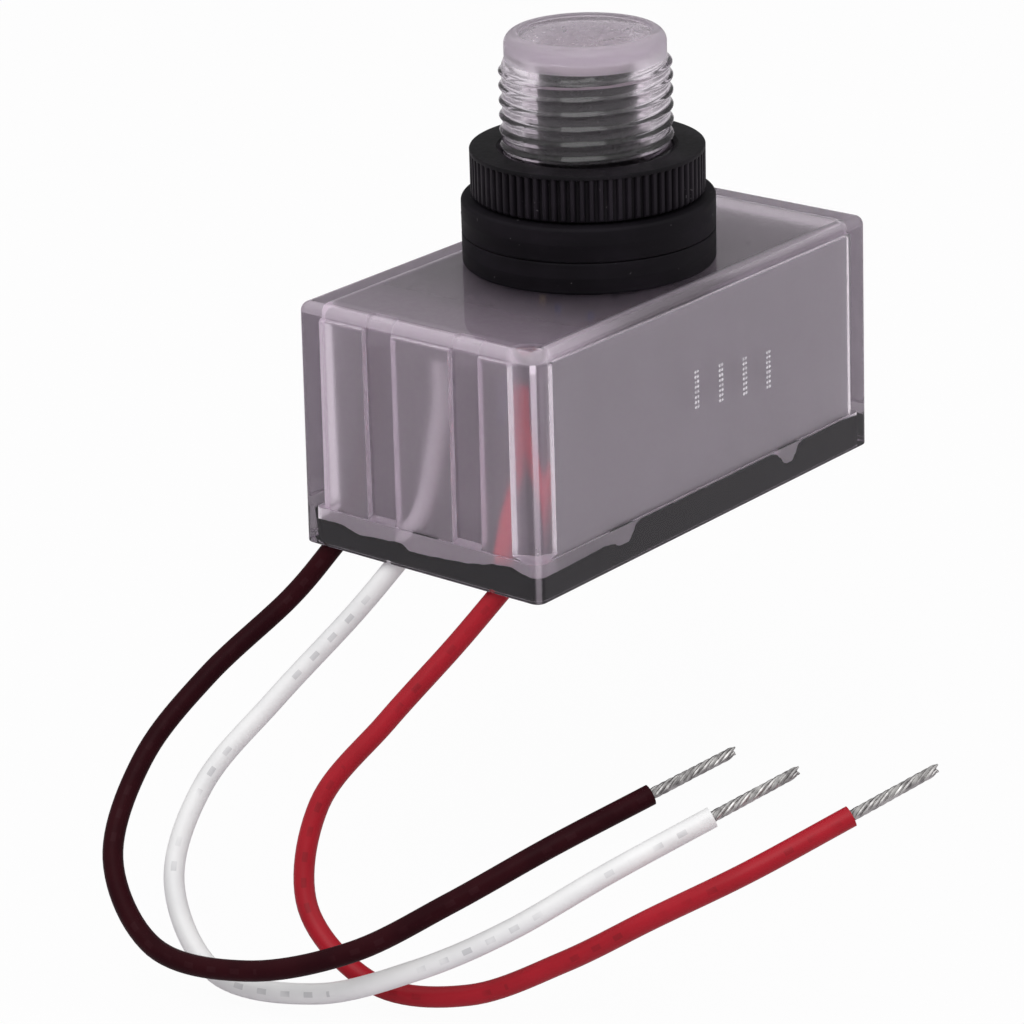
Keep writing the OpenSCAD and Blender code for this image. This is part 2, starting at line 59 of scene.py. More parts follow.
# Way that the dashes on the leads face
PRINT_SIDE = Vector((-0.7, -0.6, 0.4))
Point = Sequence[float]
Pair = tuple[float, float]
Colour = tuple[float, float, float]
Settings = dict[str, Any]
Sockets = dict[str | int, Any]
# Grey of dust, specks and dull solder
DUST: Colour = (0.2, 0.19, 0.2)


class Body(Enum):
    """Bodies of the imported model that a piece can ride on."""

    ROOT = "body"
    WASHER = "washer"
    NUT = "nut"


class Slot(Enum):
    """Material slots of the record."""

    CLEAR = "clear_plastic"
    BLACK_PLASTIC = "black_plastic"
    RUBBER = "black_rubber"
    RESIN = "black_resin"
    CELL = "cell_ceramic"
    BLACK_WIRE = "black_wire"
    WHITE_WIRE = "white_wire"
    RED_WIRE = "red_wire"
    TINNED = "tinned_copper"


class Value:
    """An output socket with Python's operators: each expression adds the node that works it out."""

    def __init__(self, graph: "Graph", socket: bpy.types.NodeSocket) -> None:
        """Wrap a socket of a graph."""
        self.graph = graph
        self.socket = socket

    def join(self, operation: str, first: Any, second: Any = 0.0) -> "Value":
        """Add a Math node, or a Vector Math node where this socket is a vector.

        Args:
            operation: Name of the node's operation.
            first: First operand, a number, a vector or a Value.
            second: Second operand.

        Returns:
            The node's result.
        """
        vector = self.socket.type == "VECTOR"
        kind = "ShaderNodeVectorMath" if vector else "ShaderNodeMath"
        return self.graph.value(kind, {"operation": operation}, {0: first, 1: second})

    def __add__(self, other: Any) -> "Value":
        """Sum with another value."""
        return self.join("ADD", self, other)

    def __radd__(self, other: Any) -> "Value":
        """Sum with a value on the left."""
        return self.join("ADD", other, self)

    def __sub__(self, other: Any) -> "Value":
        """Difference from another value."""
        return self.join("SUBTRACT", self, other)

    def __rsub__(self, other: Any) -> "Value":
        """Difference of a value on the left from this one."""
        return self.join("SUBTRACT", other, self)

    def __mul__(self, other: Any) -> "Value":
        """Product with another value."""
        return self.join("MULTIPLY", self, other)

    def __rmul__(self, other: Any) -> "Value":
        """Product with a value on the left."""
        return self.join("MULTIPLY", other, self)

    def __gt__(self, other: Any) -> "Value":
        """One where this is the larger, else nought."""
        return self.join("GREATER_THAN", self, other)

    def __lt__(self, other: Any) -> "Value":
        """One where this is the smaller, else nought."""
        return self.join("LESS_THAN", self, other)

    def __mod__(self, other: float) -> "Value":
        """Remainder, never below nought."""
        return self.join("FLOORED_MODULO", self, other)


class Graph:
    """A node tree that is built from nothing."""

    def __init__(self, tree: bpy.types.NodeTree) -> None:
        """Start with an empty tree."""
        self.tree = tree
        tree.nodes.clear()

    def node(
        self, kind: str, settings: Settings | None = None, sockets: Sockets | None = None
    ) -> bpy.types.Node:
        """Add one node.

        Args:
            kind: Blender's name for the node's type.
            settings: Its properties, set first.
            sockets: A number, a colour, a vector or a Value for each of its inputs.

        Returns:
            The new node.
        """
        made = self.tree.nodes.new(kind)
        for key, value in (settings or {}).items():
            setattr(made, key, value)
        for key, value in (sockets or {}).items():
            if isinstance(value, Value):
                self.tree.links.new(value.socket, made.inputs[key])
            else:
                made.inputs[key].default_value = value
        return made

    def value(
        self,
        kind: str,
        settings: Settings | None = None,
        sockets: Sockets | None = None,
        output: str | int = 0,
    ) -> Value:
        """Add one node and take one of its outputs.

        Args:
            kind: Blender's name for the node's type.
            settings: Its properties.
            sockets: A number, a colour, a vector or a Value for each of its inputs.
            output: Name or number of the output.

        Returns:
            The output.
        """
        return Value(self, self.node(kind, settings, sockets).outputs[output])

    def place(self) -> Value:
        """Point of the surface in metres, in the frame of the model."""
        return self.value("ShaderNodeTexCoord", output="Object")

    def parts(self, vector: Value) -> tuple[Value, Value, Value]:
        """The three numbers of a vector."""
        split = self.node("ShaderNodeSeparateXYZ", None, {0: vector})
        return tuple(Value(self, out) for out in split.outputs)

    def mark(self, name: str) -> Value:
        """Number that the mesh carries at each of its points."""
        return self.value("ShaderNodeAttribute", {"attribute_name": name}, output="Fac")

    def cloud(self, place: Value, scale: float, detail: float = 2.0) -> Value:
        """Soft noise from nought to one.

        Args:
            place: Point to read it at.
            scale: Number of blotches in a metre.
            detail: Number of finer layers.

        Returns:
            The noise.
        """
        sockets = {"Vector": place, "Scale": scale, "Detail": detail}
        return self.value("ShaderNodeTexNoise", None, sockets)

    def step(self, value: Value, low: float, high: float) -> Value:
        """Smooth step of a value between two levels."""
        sockets = {"Value": value, "From Min": low, "From Max": high}
        return self.value("ShaderNodeMapRange", {"interpolation_type": "SMOOTHSTEP"}, sockets)

    def mix(self, low: Any, high: Any, share: Value) -> Value:
        """Blend of two colours.

        Args:
            low: Colour where the share is nought, as three numbers or a Value.
            high: Colour where the share is one.
            share: Share of the second colour.

        Returns:
            The blended colour.
        """
        pair = [c if isinstance(c, Value) else (*c, 1.0) for c in (low, high)]
        sockets = {0: share, 6: pair[0], 7: pair[1]}
        return self.value("ShaderNodeMix", {"data_type": "RGBA"}, sockets, 2)

    def bump(self, height: Value, depth: float, strength: float = 1.0) -> Value:
        """Normal that is tilted by a height.

        Args:
            height: Height from nought to one.
            depth: Depth of the relief in millimetres.
            strength: Share of the relief that is used.

        Returns:
            The tilted normal.
        """
        sockets = {"Strength": strength, "Distance": depth * MM, "Height": height}
        return self.value("ShaderNodeBump", None, sockets)

    def surface(self, sockets: dict[str, Any]) -> Value:
        """A Principled surface with the given sockets."""
        return self.value("ShaderNodeBsdfPrincipled", None, sockets)

    def either(self, first: Value, second: Value, share: Value) -> Value:
        """Mix of two surfaces."""
        return self.value("ShaderNodeMixShader", None, {0: share, 1: first, 2: second})

    def seen(self, mirrored: float, bent: Any = 1.0) -> Value:
        """How far a ray sees plain white behind the object.

        Args:
            mirrored: Share for a ray off a glossy surface.
            bent: Share for a ray through clear plastic.

        Returns:
            One for the lens, else the share of the ray's kind.
        """
        path = self.node("ShaderNodeLightPath")
        kinds = ("Camera", "Glossy", "Transmission")
        lens, glossy, through = (Value(self, path.outputs[f"Is {kind} Ray"]) for kind in kinds)
        direct = lens.join("MAXIMUM", lens, glossy * mirrored)
        return direct.join("MAXIMUM", direct, through * bent)

    def close(self, surface: Value, volume: Value | None = None, kind: str = "Material") -> None:
        """Wire the tree's output.

        Args:
            surface: Surface or background shader.
            volume: What fills the piece, where light has to cross it.
            kind: Material or World.
        """
        sockets = {"Surface": surface}
        if volume is not None:
            sockets["Volume"] = volume
        self.node(f"ShaderNodeOutput{kind}", None, sockets)


@dataclass(frozen=True)
class Finish:
    """A finish that makes its material once."""

    name: str

    def shade(self, g: Graph) -> None:
        """Build the nodes in an empty graph; each finish has its own."""
        raise NotImplementedError

    def material(self) -> bpy.types.Material:
        """Make the material, or find it where it is made already.

        Returns:
            The material.
        """
        found = bpy.data.materials.get(self.name)
        if found is None:
            found = bpy.data.materials.new(self.name)
            found.use_nodes = True
            self.shade(Graph(found.node_tree))
        return found


@dataclass(frozen=True)
class ClearPlastic(Finish):
    """Clear moulded plastic with a faint lilac cast: polished outside, frosted inside."""

    tint: Colour = (0.99, 0.95, 0.985)
    shaded: Colour = (0.97, 0.92, 0.965)
    gloss: float = 0.02
    frost: float = 0.28
    satin: float = 0.16
    haze: float = 0.17
    milk: Colour = (0.84, 0.68, 0.84)
    cast: Colour = (0.5, 0.3, 0.54)
    depth: float = 26.0
    end_haze: float = 0.8
    end_x: Pair = (-0.0302, -0.0292)
    roof_haze: float = 1.5
    roof_z: Pair = (-0.0064, -0.006)
    roof_x: Pair = (-0.03, -0.012)

    def shade(self, g: Graph) -> None:
        """Refracting surface, milky on marked inner faces, with a cast that deepens with length.

        Args:
            g: Graph to build in.
        """
        place = g.place()
        x, _, z = g.parts(place)
        at_end = 1.0 - g.step(x, *self.end_x)
        at_roof = g.step(z, *self.roof_z) * (1.0 - g.step(x, *self.roof_x))
        dulled = 1.0 + at_end * self.end_haze + at_roof * self.roof_haze
        inner = g.mark("inner")
        flow = g.cloud(place, 60.0)
        grain = g.cloud(place, 1400.0, 3.0)
        normal = g.bump(flow, 0.03, 0.3)
        frosted = inner * (self.frost - self.gloss) + g.mark("satin") * self.satin
        clear = g.surface({
            "Base Color": g.mix(self.tint, self.shaded, flow),
            "Roughness": self.gloss + frosted + grain * 0.03,
            "IOR": 1.49,
            "Specular IOR Level": 0.4,
            "Transmission Weight": 1.0,
            "Normal": normal,
        })
        milky = g.surface({
            "Base Color": g.mix(self.milk, self.shaded, grain),
            "Roughness": 0.7,
            "Specular IOR Level": 0.2,
            "Normal": normal,
        })
        filling = {"Color": (*self.cast, 1.0), "Density": self.depth}
        cast = g.value("ShaderNodeVolumeAbsorption", None, filling)
        g.close(g.either(clear, milky, inner * dulled * self.haze), cast)


@dataclass(frozen=True)
class MouldedPlastic(Finish):
    """Opaque moulded plastic with a fine spark-eroded grain and handled edges; lighter rib crests
    are part wear, part painted highlight.
    """

    colour: Colour = (0.0044, 0.0036, 0.005)
    # Lighter colour of wear, and of the painted highlight on rib crests
    worn_and_lit: Colour = (0.02, 0.0163, 0.022)
    roughness: float = 0.45
    grain: float = 1800.0
    relief: float = 0.03
    shine: float = 0.12

    def shade(self, g: Graph) -> None:
        """Grained surface, lighter where the mesh marks rib crests (part wear, part painted
        highlight) and darker in the grooves as painted shade.

        Args:
            g: Graph to build in.
        """
        place = g.place()
        grain = g.cloud(place, self.grain, 3.0)
        blotch = g.cloud(place, 160.0, 3.0)
        dust = g.step(g.cloud(place, 2600.0, 1.0), 0.74, 0.8) * g.step(blotch, 0.45, 0.6)
        # Lighter on rib crests and darker in the grooves: part wear, part painted highlight and
        # painted shade; the blotches are random wear
        worn_and_lit = g.mark("wear_and_rib_light") * 0.5 + g.step(blotch, 0.45, 0.75) * 0.35
        base = g.mix(self.colour, self.worn_and_lit, worn_and_lit)
        g.close(g.surface({
            "Base Color": g.mix(base, DUST, dust * 0.35),
            "Roughness": self.roughness + grain * 0.14 - worn_and_lit * 0.06,
            "Specular IOR Level": self.shine,
            "Normal": g.bump(grain, self.relief, 0.5),
        }))


@dataclass(frozen=True)
class Rubber(Finish):
    """Black rubber with a dusty bloom and scattered specks."""

    colour: Colour = (0.0046, 0.0037, 0.0054)
    bloom: Colour = (0.0105, 0.0085, 0.012)

    def shade(self, g: Graph) -> None:
        """Matt surface with wiped streaks round the axis and pale specks.

        Args:
            g: Graph to build in.
        """
        place = g.place()
        streak = g.cloud(place * (60.0, 60.0, 420.0), 1.0, 4.0)
        blotch = g.cloud(place, 120.0, 4.0)
        grain = g.cloud(place, 2600.0, 2.0)
        speck = g.step(g.cloud(place + (0.31, 0.17, 0.05), 1500.0, 1.0), 0.76, 0.8)
        dusty = g.step(streak * 0.5 + blotch * 0.5, 0.4, 0.68)
        base = g.mix(self.colour, self.bloom, dusty)
        g.close(g.surface({
            "Base Color": g.mix(base, DUST, speck * 0.3),
            "Roughness": 0.56 + dusty * 0.16 + grain * 0.08,
            "Specular IOR Level": 0.1,
            "Normal": g.bump(grain * 0.4 + streak * 0.6, 0.05, 0.4),
        }))


@dataclass(frozen=True)
class Resin(Finish):
    """Cast black resin: glossy skin with slow ripples and a few pits."""

    colour: Colour = (0.004, 0.0032, 0.0048)
    thin: Colour = (0.008, 0.0065, 0.009)
    face_z: Pair = (-0.0343, -0.0341)

    def shade(self, g: Graph) -> None:
        """Self-levelled surface that wets the wall.

        Args:
            g: Graph to build in.
        """
        place = g.place()
        bare = 1.0 - g.step(g.parts(place)[2], *self.face_z)
        ripple = g.cloud(place, 110.0, 3.0)
        pit = g.step(g.cloud(place, 700.0, 1.0), 0.72, 0.78)
        g.close(g.surface({
            "Base Color": g.mix(self.colour, self.thin, ripple),
            "Roughness": 0.4 + ripple * 0.12 + pit * 0.3,
            "Specular IOR Level": 0.0,
            "Coat Weight": bare * 0.35,
            "Coat Roughness": 0.2,
            "Normal": g.bump(ripple - pit * 0.4, 0.06, 0.4),
        }))


@dataclass(frozen=True)
class FibreSheet(Finish):
    """Grey insulating sheet with a drawn grain."""

    colour: Colour = (0.245, 0.25, 0.255)
    pale: Colour = (0.33, 0.335, 0.345)
    run: Colour = (500.0, 500.0, 30.0)

    def shade(self, g: Graph) -> None:
        """Matt sheet with streaks that run along its height.

        Args:
            g: Graph to build in.
        """
        place = g.place()
        streak = g.cloud(place * self.run, 1.0, 4.0)
        blotch = g.cloud(place, 70.0, 3.0)
        fibre = g.cloud(place, 2400.0, 3.0)
        share = g.step(streak * 0.4 + blotch * 0.4 + fibre * 0.2, 0.3, 0.72)
        g.close(g.surface({
            "Base Color": g.mix(self.colour, self.pale, share),
            "Roughness": 0.62 + fibre * 0.2,
            "Specular IOR Level": 0.25,
            "Normal": g.bump(fibre * 0.6 + streak * 0.4, 0.04, 0.6),
        }))


@dataclass(frozen=True)
class BoardCoat(Finish):
    """Circuit board under a dull lacquer, with printed tracks."""

    colour: Colour = (0.11, 0.108, 0.112)
    track: Colour = (0.15, 0.147, 0.152)
    weave: Colour = (0.12, 0.12, 0.115)
    lane_w: float = 0.0052
    lane_sway: float = 0.006

    def shade(self, g: Graph) -> None:
        """Lacquered sheet with wide tracks along the board.

        Args:
            g: Graph to build in.
        """
        place = g.place()
        bend = g.cloud(place * (40.0, 120.0, 1.0), 1.0, 0.0)
        lane = (g.parts(place)[1] + bend * self.lane_sway) % self.lane_w
        track = g.step(lane, 0.0017, 0.0019) * (1.0 - g.step(lane, 0.0044, 0.0046))
        weave = g.cloud(place, 2200.0, 2.0)
        base = g.mix(self.colour, self.track, track)
        g.close(g.surface({
            "Base Color": g.mix(base, self.weave, weave * 0.3),
            "Roughness": 0.6 + weave * 0.14,
            "Specular IOR Level": 0.08,
            "Normal": g.bump(track * 0.8 + weave * 0.2, 0.05, 0.6),
        }))


@dataclass(frozen=True)
class Jacket(Finish):
    """Extruded wire insulation with faint plain dashes along one side."""

    colour: Colour = (0.84, 0.84, 0.84)
    deep: Colour = (0.77, 0.77, 0.775)
    ink: Colour = (0.4, 0.4, 0.42)
    shine: float = 0.45
    dash_l: float = 0.0012
    dash_pitch: float = 0.0031
    group_l: float = 0.0205
    group_pitch: float = 0.0287

    def shade(self, g: Graph) -> None:
        """Smooth jacket with extrusion lines, handled patches and short printed dashes.

        Args:
            g: Graph to build in.
        """
        place = g.place()
        along = g.mark("along")
        side = g.mark("side")
        blotch = g.cloud(place, 140.0, 3.0)
        line = g.cloud(place, 900.0, 2.0)
        dash = (along % self.dash_pitch) < self.dash_l
        group = (along % self.group_pitch) < self.group_l
        faded = g.step(blotch, 0.36, 0.6)
        printed = dash * group * g.step(side, 0.955, 0.965) * faded * 0.55
        base = g.mix(self.colour, self.deep, g.step(blotch, 0.35, 0.7))
        g.close(g.surface({
            "Base Color": g.mix(base, self.ink, printed),
            "Roughness": 0.34 + line * 0.12,
            "Specular IOR Level": self.shine,
            "Normal": g.bump(line * 0.6 + blotch * 0.4, 0.04, 0.4),
        }))


@dataclass(frozen=True)
class Tinned(Finish):
    """Tinned copper wire, dulled by handling."""

    bright: Colour = (0.5, 0.49, 0.48)
    dull: Colour = (0.22, 0.21, 0.21)

    def shade(self, g: Graph) -> None:
        """Metal with drawn scratches and grey oxide.

        Args:
            g: Graph to build in.
        """
        place = g.place()
        oxide = g.cloud(place, 900.0, 4.0)
        scratch = g.cloud(place * (3000.0, 3000.0, 700.0), 1.0, 2.0)
        g.close(g.surface({
            "Base Color": g.mix(self.bright, self.dull, g.step(oxide, 0.35, 0.7)),
            "Metallic": 1.0,
            "Roughness": 0.26 + oxide * 0.2,
            "Normal": g.bump(scratch, 0.02, 0.5),
        }))


@dataclass(frozen=True)
class CellFace(Finish):
    """Ceramic photocell with its winding sensitive track."""

    body: Colour = (0.42, 0.37, 0.4)
    glazed: Colour = (0.5, 0.44, 0.47)
    track: Colour = (0.26, 0.2, 0.21)
    lane_w: float = 0.0021
    face_r: float = 0.0043
    face_z: float = 0.0217

    def shade(self, g: Graph) -> None:
        """Pale ceramic with a track that winds over its face.

        Args:
            g: Graph to build in.
        """
        place = g.place()
        x, y, z = g.parts(place)
        lane = (y + 0.05) % self.lane_w
        gap = g.step(lane, 0.0008, 0.0009) * (1.0 - g.step(lane, 0.0012, 0.0013))
        on_face = ((x * x + y * y) < self.face_r ** 2) * (z > self.face_z)
        glaze = g.cloud(place, 800.0, 3.0)
        base = g.mix(self.body, self.glazed, glaze)
        g.close(g.surface({
            "Base Color": g.mix(base, self.track, gap * on_face * 0.6),
            "Roughness": 0.5 + glaze * 0.2,
            "Specular IOR Level": 0.1,
            "Normal": g.bump(glaze, 0.02, 0.3),
        }))


@dataclass(frozen=True)
class Lacquer(Finish):
    """Dipped or painted coat of a board part, with dull solder on the pins above the board."""

    colour: Colour = (0.1, 0.1, 0.1)
    pale: Colour = (0.2, 0.2, 0.2)
    roughness: float = 0.35
    pin_z: float = -0.0079

    def shade(self, g: Graph) -> None:
        """Coat with orange peel and thin edges.

        Args:
            g: Graph to build in.
        """
        place = g.place()
        peel = g.cloud(place, 700.0, 3.0)
        blotch = g.cloud(place, 200.0, 3.0)
        pin = g.parts(place)[2] > self.pin_z
        coat = g.mix(self.colour, self.pale, g.step(blotch, 0.3, 0.75))
        g.close(g.surface({
            "Base Color": g.mix(coat, DUST, pin),
            "Roughness": self.roughness + peel * 0.15,
            "Specular IOR Level": 0.45,
            "Normal": g.bump(peel, 0.04, 0.5),
        }))


@dataclass(frozen=True)
class Ink(Finish):
    """White jet-printed ink, thin in places."""

    colour: Colour = (0.78, 0.76, 0.79)
    thin: Colour = (0.56, 0.54, 0.57)

    def shade(self, g: Graph) -> None:
        """Matt dots of uneven cover.

        Args:
            g: Graph to build in.
        """
        cover = g.cloud(g.place(), 1200.0, 3.0)
        g.close(g.surface({
            "Base Color": g.mix(self.thin, self.colour, g.step(cover, 0.35, 0.6)),
            "Roughness": 0.6 + cover * 0.2,
            "Normal": g.bump(cover, 0.02, 0.5),
        }))


@dataclass(frozen=True)
class StudioFloor(Finish):
    """Pale floor: white to the lens, to metal and to glass, and it keeps a soft shadow."""

    colour: Colour = (0.6, 0.565, 0.6)
    pale: Colour = (0.64, 0.605, 0.64)
    white: float = 0.96
    mirrored: float = 0.1

    def shade(self, g: Graph) -> None:
        """Diffuse floor with a share of plain white for the rays that see it as background.

        Args:
            g: Graph to build in.
        """
        tone = g.cloud(g.place(), 6.0)
        matt = g.surface({
            "Base Color": g.mix(self.colour, self.pale, tone),
            "Roughness": 0.8 + tone * 0.1,
            "Specular IOR Level": 0.0,
        })
        glow = g.value("ShaderNodeEmission")
        g.close(g.either(matt, glow, g.seen(self.mirrored) * self.white))


CLEAR = ClearPlastic("clear_moulded")
NUT_PLASTIC = MouldedPlastic("black_nylon")
TUBE_PLASTIC = MouldedPlastic(
    "black_tube", (0.002, 0.0018, 0.0022), (0.004, 0.0037, 0.0043), 0.22, shine=0.25)
RELAY_PLASTIC = MouldedPlastic("relay_case", (0.02, 0.04, 0.11), (0.05, 0.08, 0.17), shine=0.4)
RUBBER = Rubber("dusty_rubber")
RESIN = Resin("potting_resin")
LINER = FibreSheet("grey_liner_sheet")
BOARD = BoardCoat("lacquered_board")
BLACK_JACKET = Jacket(
    "black_jacket", (0.02, 0.003, 0.005), (0.028, 0.0042, 0.0065), (0.036, 0.01, 0.013), 0.04)
WHITE_JACKET = Jacket("white_jacket")
RED_JACKET = Jacket(
    "red_jacket", (0.38, 0.009, 0.02), (0.33, 0.008, 0.017), (0.2, 0.006, 0.012), 0.2)
# Brighter copies of the white and red jackets for the tails inside the housing: painted light that
# makes up for the light the clear walls and the box hold back
LIT_WHITE_COPY = Jacket(
    "white_lit_copy_jacket", (0.94, 0.93, 0.94), (0.9, 0.89, 0.9), (0.85, 0.85, 0.85))
LIT_RED_COPY = Jacket(
    "red_lit_copy_jacket", (0.95, 0.025, 0.055), (0.88, 0.022, 0.05), (0.8, 0.02, 0.045), 0.1)
TINNED = Tinned("tinned_wire")
CELL = CellFace("photocell_face")
INK = Ink("white_ink")
NODE_FINISHES = {
    "base_plate": ClearPlastic("clear_plate", frost=0.1, haze=0.0),
    "liner": LINER,
    "circuit_board": BOARD,
    "sensor_tube": TUBE_PLASTIC,
    "relay": RELAY_PLASTIC,
    "film_capacitor": Lacquer("film_coat", (0.3, 0.05, 0.03), (0.42, 0.09, 0.05)),
    "smoothing_capacitor": Lacquer("can_sleeve", (0.02, 0.022, 0.035), (0.06, 0.065, 0.09)),
    "varistor": Lacquer("varistor_coat", (0.03, 0.1, 0.3), (0.06, 0.15, 0.38)),
    "rectifier_diodes": Lacquer("diode_coat", (0.015, 0.015, 0.015), (0.05, 0.05, 0.05)),
    "resistors": Lacquer("resistor_coat", (0.5, 0.36, 0.2), (0.6, 0.46, 0.28)),
    "transistor": Lacquer("transistor_case", (0.015, 0.015, 0.017), (0.04, 0.04, 0.042), 0.5),
}


class Skin:
    """A mesh in the making, with its points in millimetres."""

    def __init__(self) -> None:
        """Start with no points and no faces."""
        self.points: list[Point] = []
        self.faces: list[tuple[int, ...]] = []
        self.marks: dict[str, dict[int, float]] = {}

    def ring(self, points: Iterable[Point], **marks: float) -> list[int]:
        """Add a loop of points.

        Args:
            points: The loop's points in millimetres.
            marks: Numbers that all of them carry for the finish.

        Returns:
            The points' numbers.
        """
        start = len(self.points)
        self.points.extend(tuple(p) for p in points)
        made = list(range(start, len(self.points)))
        self.mark(made, **marks)
        return made

    def mark(self, points: Sequence[int], **marks: float) -> None:
        """Set the numbers that some points carry for the finish."""
        for name, value in marks.items():
            self.marks.setdefault(name, {}).update((k, value) for k in points)

    def band(self, low: Sequence[int], high: Sequence[int]) -> None:
        """Join two loops of as many points with four-sided faces.

        Args:
            low: Points of one loop.
            high: Points of the other loop.
        """
        for i in range(len(low)):
            j = (i + 1) % len(low)
            self.faces.append((low[i], low[j], high[j], high[i]))

    def bands(self, loops: Sequence[Sequence[int]]) -> None:
        """Join a row of loops one after another."""
        for low, high in zip(loops, loops[1:]):
            self.band(low, high)

    def zip(self, inner: Sequence[int], outer: Sequence[int]) -> None:
        """Fill the ring between two loops round the Z axis that have different counts.

        Args:
            inner: Points of one loop.
            outer: Points of the other loop.
        """
        def turn(k: int) -> float:
            """Angle of a point round the axis."""
            return math.atan2(self.points[k][1], self.points[k][0]) % TAU

        a = sorted(inner, key=turn)
        b = sorted(outer, key=turn)
        turns_a = [turn(k) for k in a] + [turn(a[0]) + TAU]
        turns_b = [turn(k) for k in b] + [turn(b[0]) + TAU]
        i = j = 0
        while i < len(a) or j < len(b):
            now_a, now_b = a[i % len(a)], b[j % len(b)]
            if j == len(b) or (i < len(a) and turns_a[i + 1] <= turns_b[j + 1]):
                i += 1
                self.faces.append((now_a, a[i % len(a)], now_b))
            else:
                j += 1
                self.faces.append((now_a, b[j % len(b)], now_b))

    def cap(self, loop: Sequence[int]) -> None:
        """Close a loop with one flat face."""
        self.faces.append(tuple(loop))

    def caps(self, loops: Sequence[Sequence[int]]) -> None:
        """Close the first and the last of a row of loops."""
        self.cap(loops[0])
        self.cap(loops[-1])

    def rounds(self, profile: Iterable[Pair], count: int, **marks: float) -> list[list[int]]:
        """Level circles round the Z axis, one for each radius and height of a profile."""
        return [self.ring(circle(r, z, count), **marks) for r, z in profile]

    def turned(
        self, profile: Sequence[Pair], count: int, closed: bool = False, **marks: float
    ) -> list[list[int]]:
        """Sweep a profile of radii and heights round the Z axis.

        Args:
            profile: Radius and height of each corner.
            count: Points in each loop.
            closed: Whether the last loop joins the first.
            marks: Numbers that all of the points carry for the finish.

        Returns:
            The loops.
        """
        loops = self.rounds(profile, count, **marks)
        self.bands(loops + loops[:1] if closed else loops)
        return loops

    def sweep(self, path: Sequence[Vector], radius: Callable[[float], float], sides: int) -> None:
        """Sweep a circle along a path and cap its ends.

        Args:
            path: Points of the centre line.
            radius: Radius at each share of the path, from nought to one.
            sides: Points in each loop.
        """
        loops, along = [], 0.0
        across = Vector((1.0, 0.0, 0.0))
        spokes = [polar(1.0, TAU * k / sides, 0.0)[:2] for k in range(sides)]
        for i, point in enumerate(path):
            aim = (path[min(i + 1, len(path) - 1)] - path[max(i - 1, 0)]).normalized()
            across = (across - aim * across.dot(aim)).normalized()
            over = aim.cross(across)
            along += (point - path[i - 1]).length if i else 0.0
            r = radius(i / (len(path) - 1))
            outward = [across * c + over * s for c, s in spokes]
            loop = self.ring((point + way * r for way in outward), along=along * MM)
            facing = (PRINT_SIDE - aim * PRINT_SIDE.dot(aim)).normalized()
            for n, way in zip(loop, outward):
                self.mark([n], side=way.dot(facing))
            loops.append(loop)
        self.bands(loops)
        self.caps(loops)

    def build(self, name: str, finish: Finish, sharp: float = 40.0) -> bpy.types.Object:
        """Make the mesh object in metres, with outward faces and sharp edges by angle.

        Args:
            name: Name of the piece.
            finish: Its finish.
            sharp: Angle in degrees above which an edge is sharp.

        Returns:
            The new object.
        """
        mesh = bpy.data.meshes.new(name)
        mesh.from_pydata([[c * MM for c in p] for p in self.points], [], self.faces)
        shape = bmesh.new()
        shape.from_mesh(mesh)
        bmesh.ops.recalc_face_normals(shape, faces=shape.faces)
        shape.to_mesh(mesh)
        shape.free()
        for mark, values in self.marks.items():
            layer = mesh.attributes.new(mark, "FLOAT", "POINT")
            layer.data.foreach_set("value", [values.get(k, 0.0) for k in range(len(self.points))])
        mesh.polygons.foreach_set("use_smooth", [True] * len(mesh.polygons))
        mesh.set_sharp_from_angle(angle=math.radians(sharp))
        mesh.materials.append(finish.material())
        made = bpy.data.objects.new(name, mesh)
        bpy.context.scene.collection.objects.link(made)
        return made


def place(piece: bpy.types.Object, body: Body, slot: Slot, *nodes: str) -> bpy.types.Object:
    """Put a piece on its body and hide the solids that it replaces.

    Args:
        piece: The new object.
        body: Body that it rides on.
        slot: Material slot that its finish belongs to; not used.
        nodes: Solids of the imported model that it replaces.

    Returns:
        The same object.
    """
    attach(piece, body.value)
    if nodes:
        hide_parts(*nodes)
    log.info("piece %s: %d faces, rides %s", piece.name, len(piece.data.polygons), body.value)
    return piece


def polar(radius: float, turn: float, z: float) -> tuple[float, float, float]:
    """Point at an angle round the Z axis."""
    return (radius * math.cos(turn), radius * math.sin(turn), z)


def circle(radius: float, z: float, count: int) -> list[Point]:
    """Points of a level circle round the Z axis."""
    return [polar(radius, TAU * k / count, z) for k in range(count)]


def arc(x: float, z: float, radius: float, start: float, end: float, steps: int) -> list[Pair]:
    """Points of an arc in a profile.

    Args:
        x: Middle of the arc across.
        z: Middle of the arc in height.
        radius: Its radius.
        start: First angle in degrees.
        end: Last angle in degrees.
        steps: Number of steps.

    Returns:
        Pairs of distance and height.
    """
    angles = [math.radians(start + (end - start) * k / steps) for k in range(steps + 1)]
    return [(x + radius * math.cos(a), z + radius * math.sin(a)) for a in angles]


def rounded_corners(half_l: float, half_w: float, radius: float, steps: int) -> list[list[Vector]]:
    """Corners of a rounded box in plan, anticlockwise from the one at +X and +Y.

    Args:
        half_l: Half of the box's length.
        half_w: Half of its width.
        radius: Rounding of the corners.
        steps: Steps in each corner.

    Returns:
        The points of each corner.
    """
    corners = []
    for k, (sx, sy) in enumerate(((1, 1), (-1, 1), (-1, -1), (1, -1))):
        x, y = sx * (half_l - radius), sy * (half_w - radius)
        corners.append([Vector(p) for p in arc(x, y, radius, 90 * k, 90 * k + 90, steps)])
    return corners


def eased(share: float) -> float:
    """Share from nought to one that starts and stops softly."""
    return share * share * (3.0 - 2.0 * share)


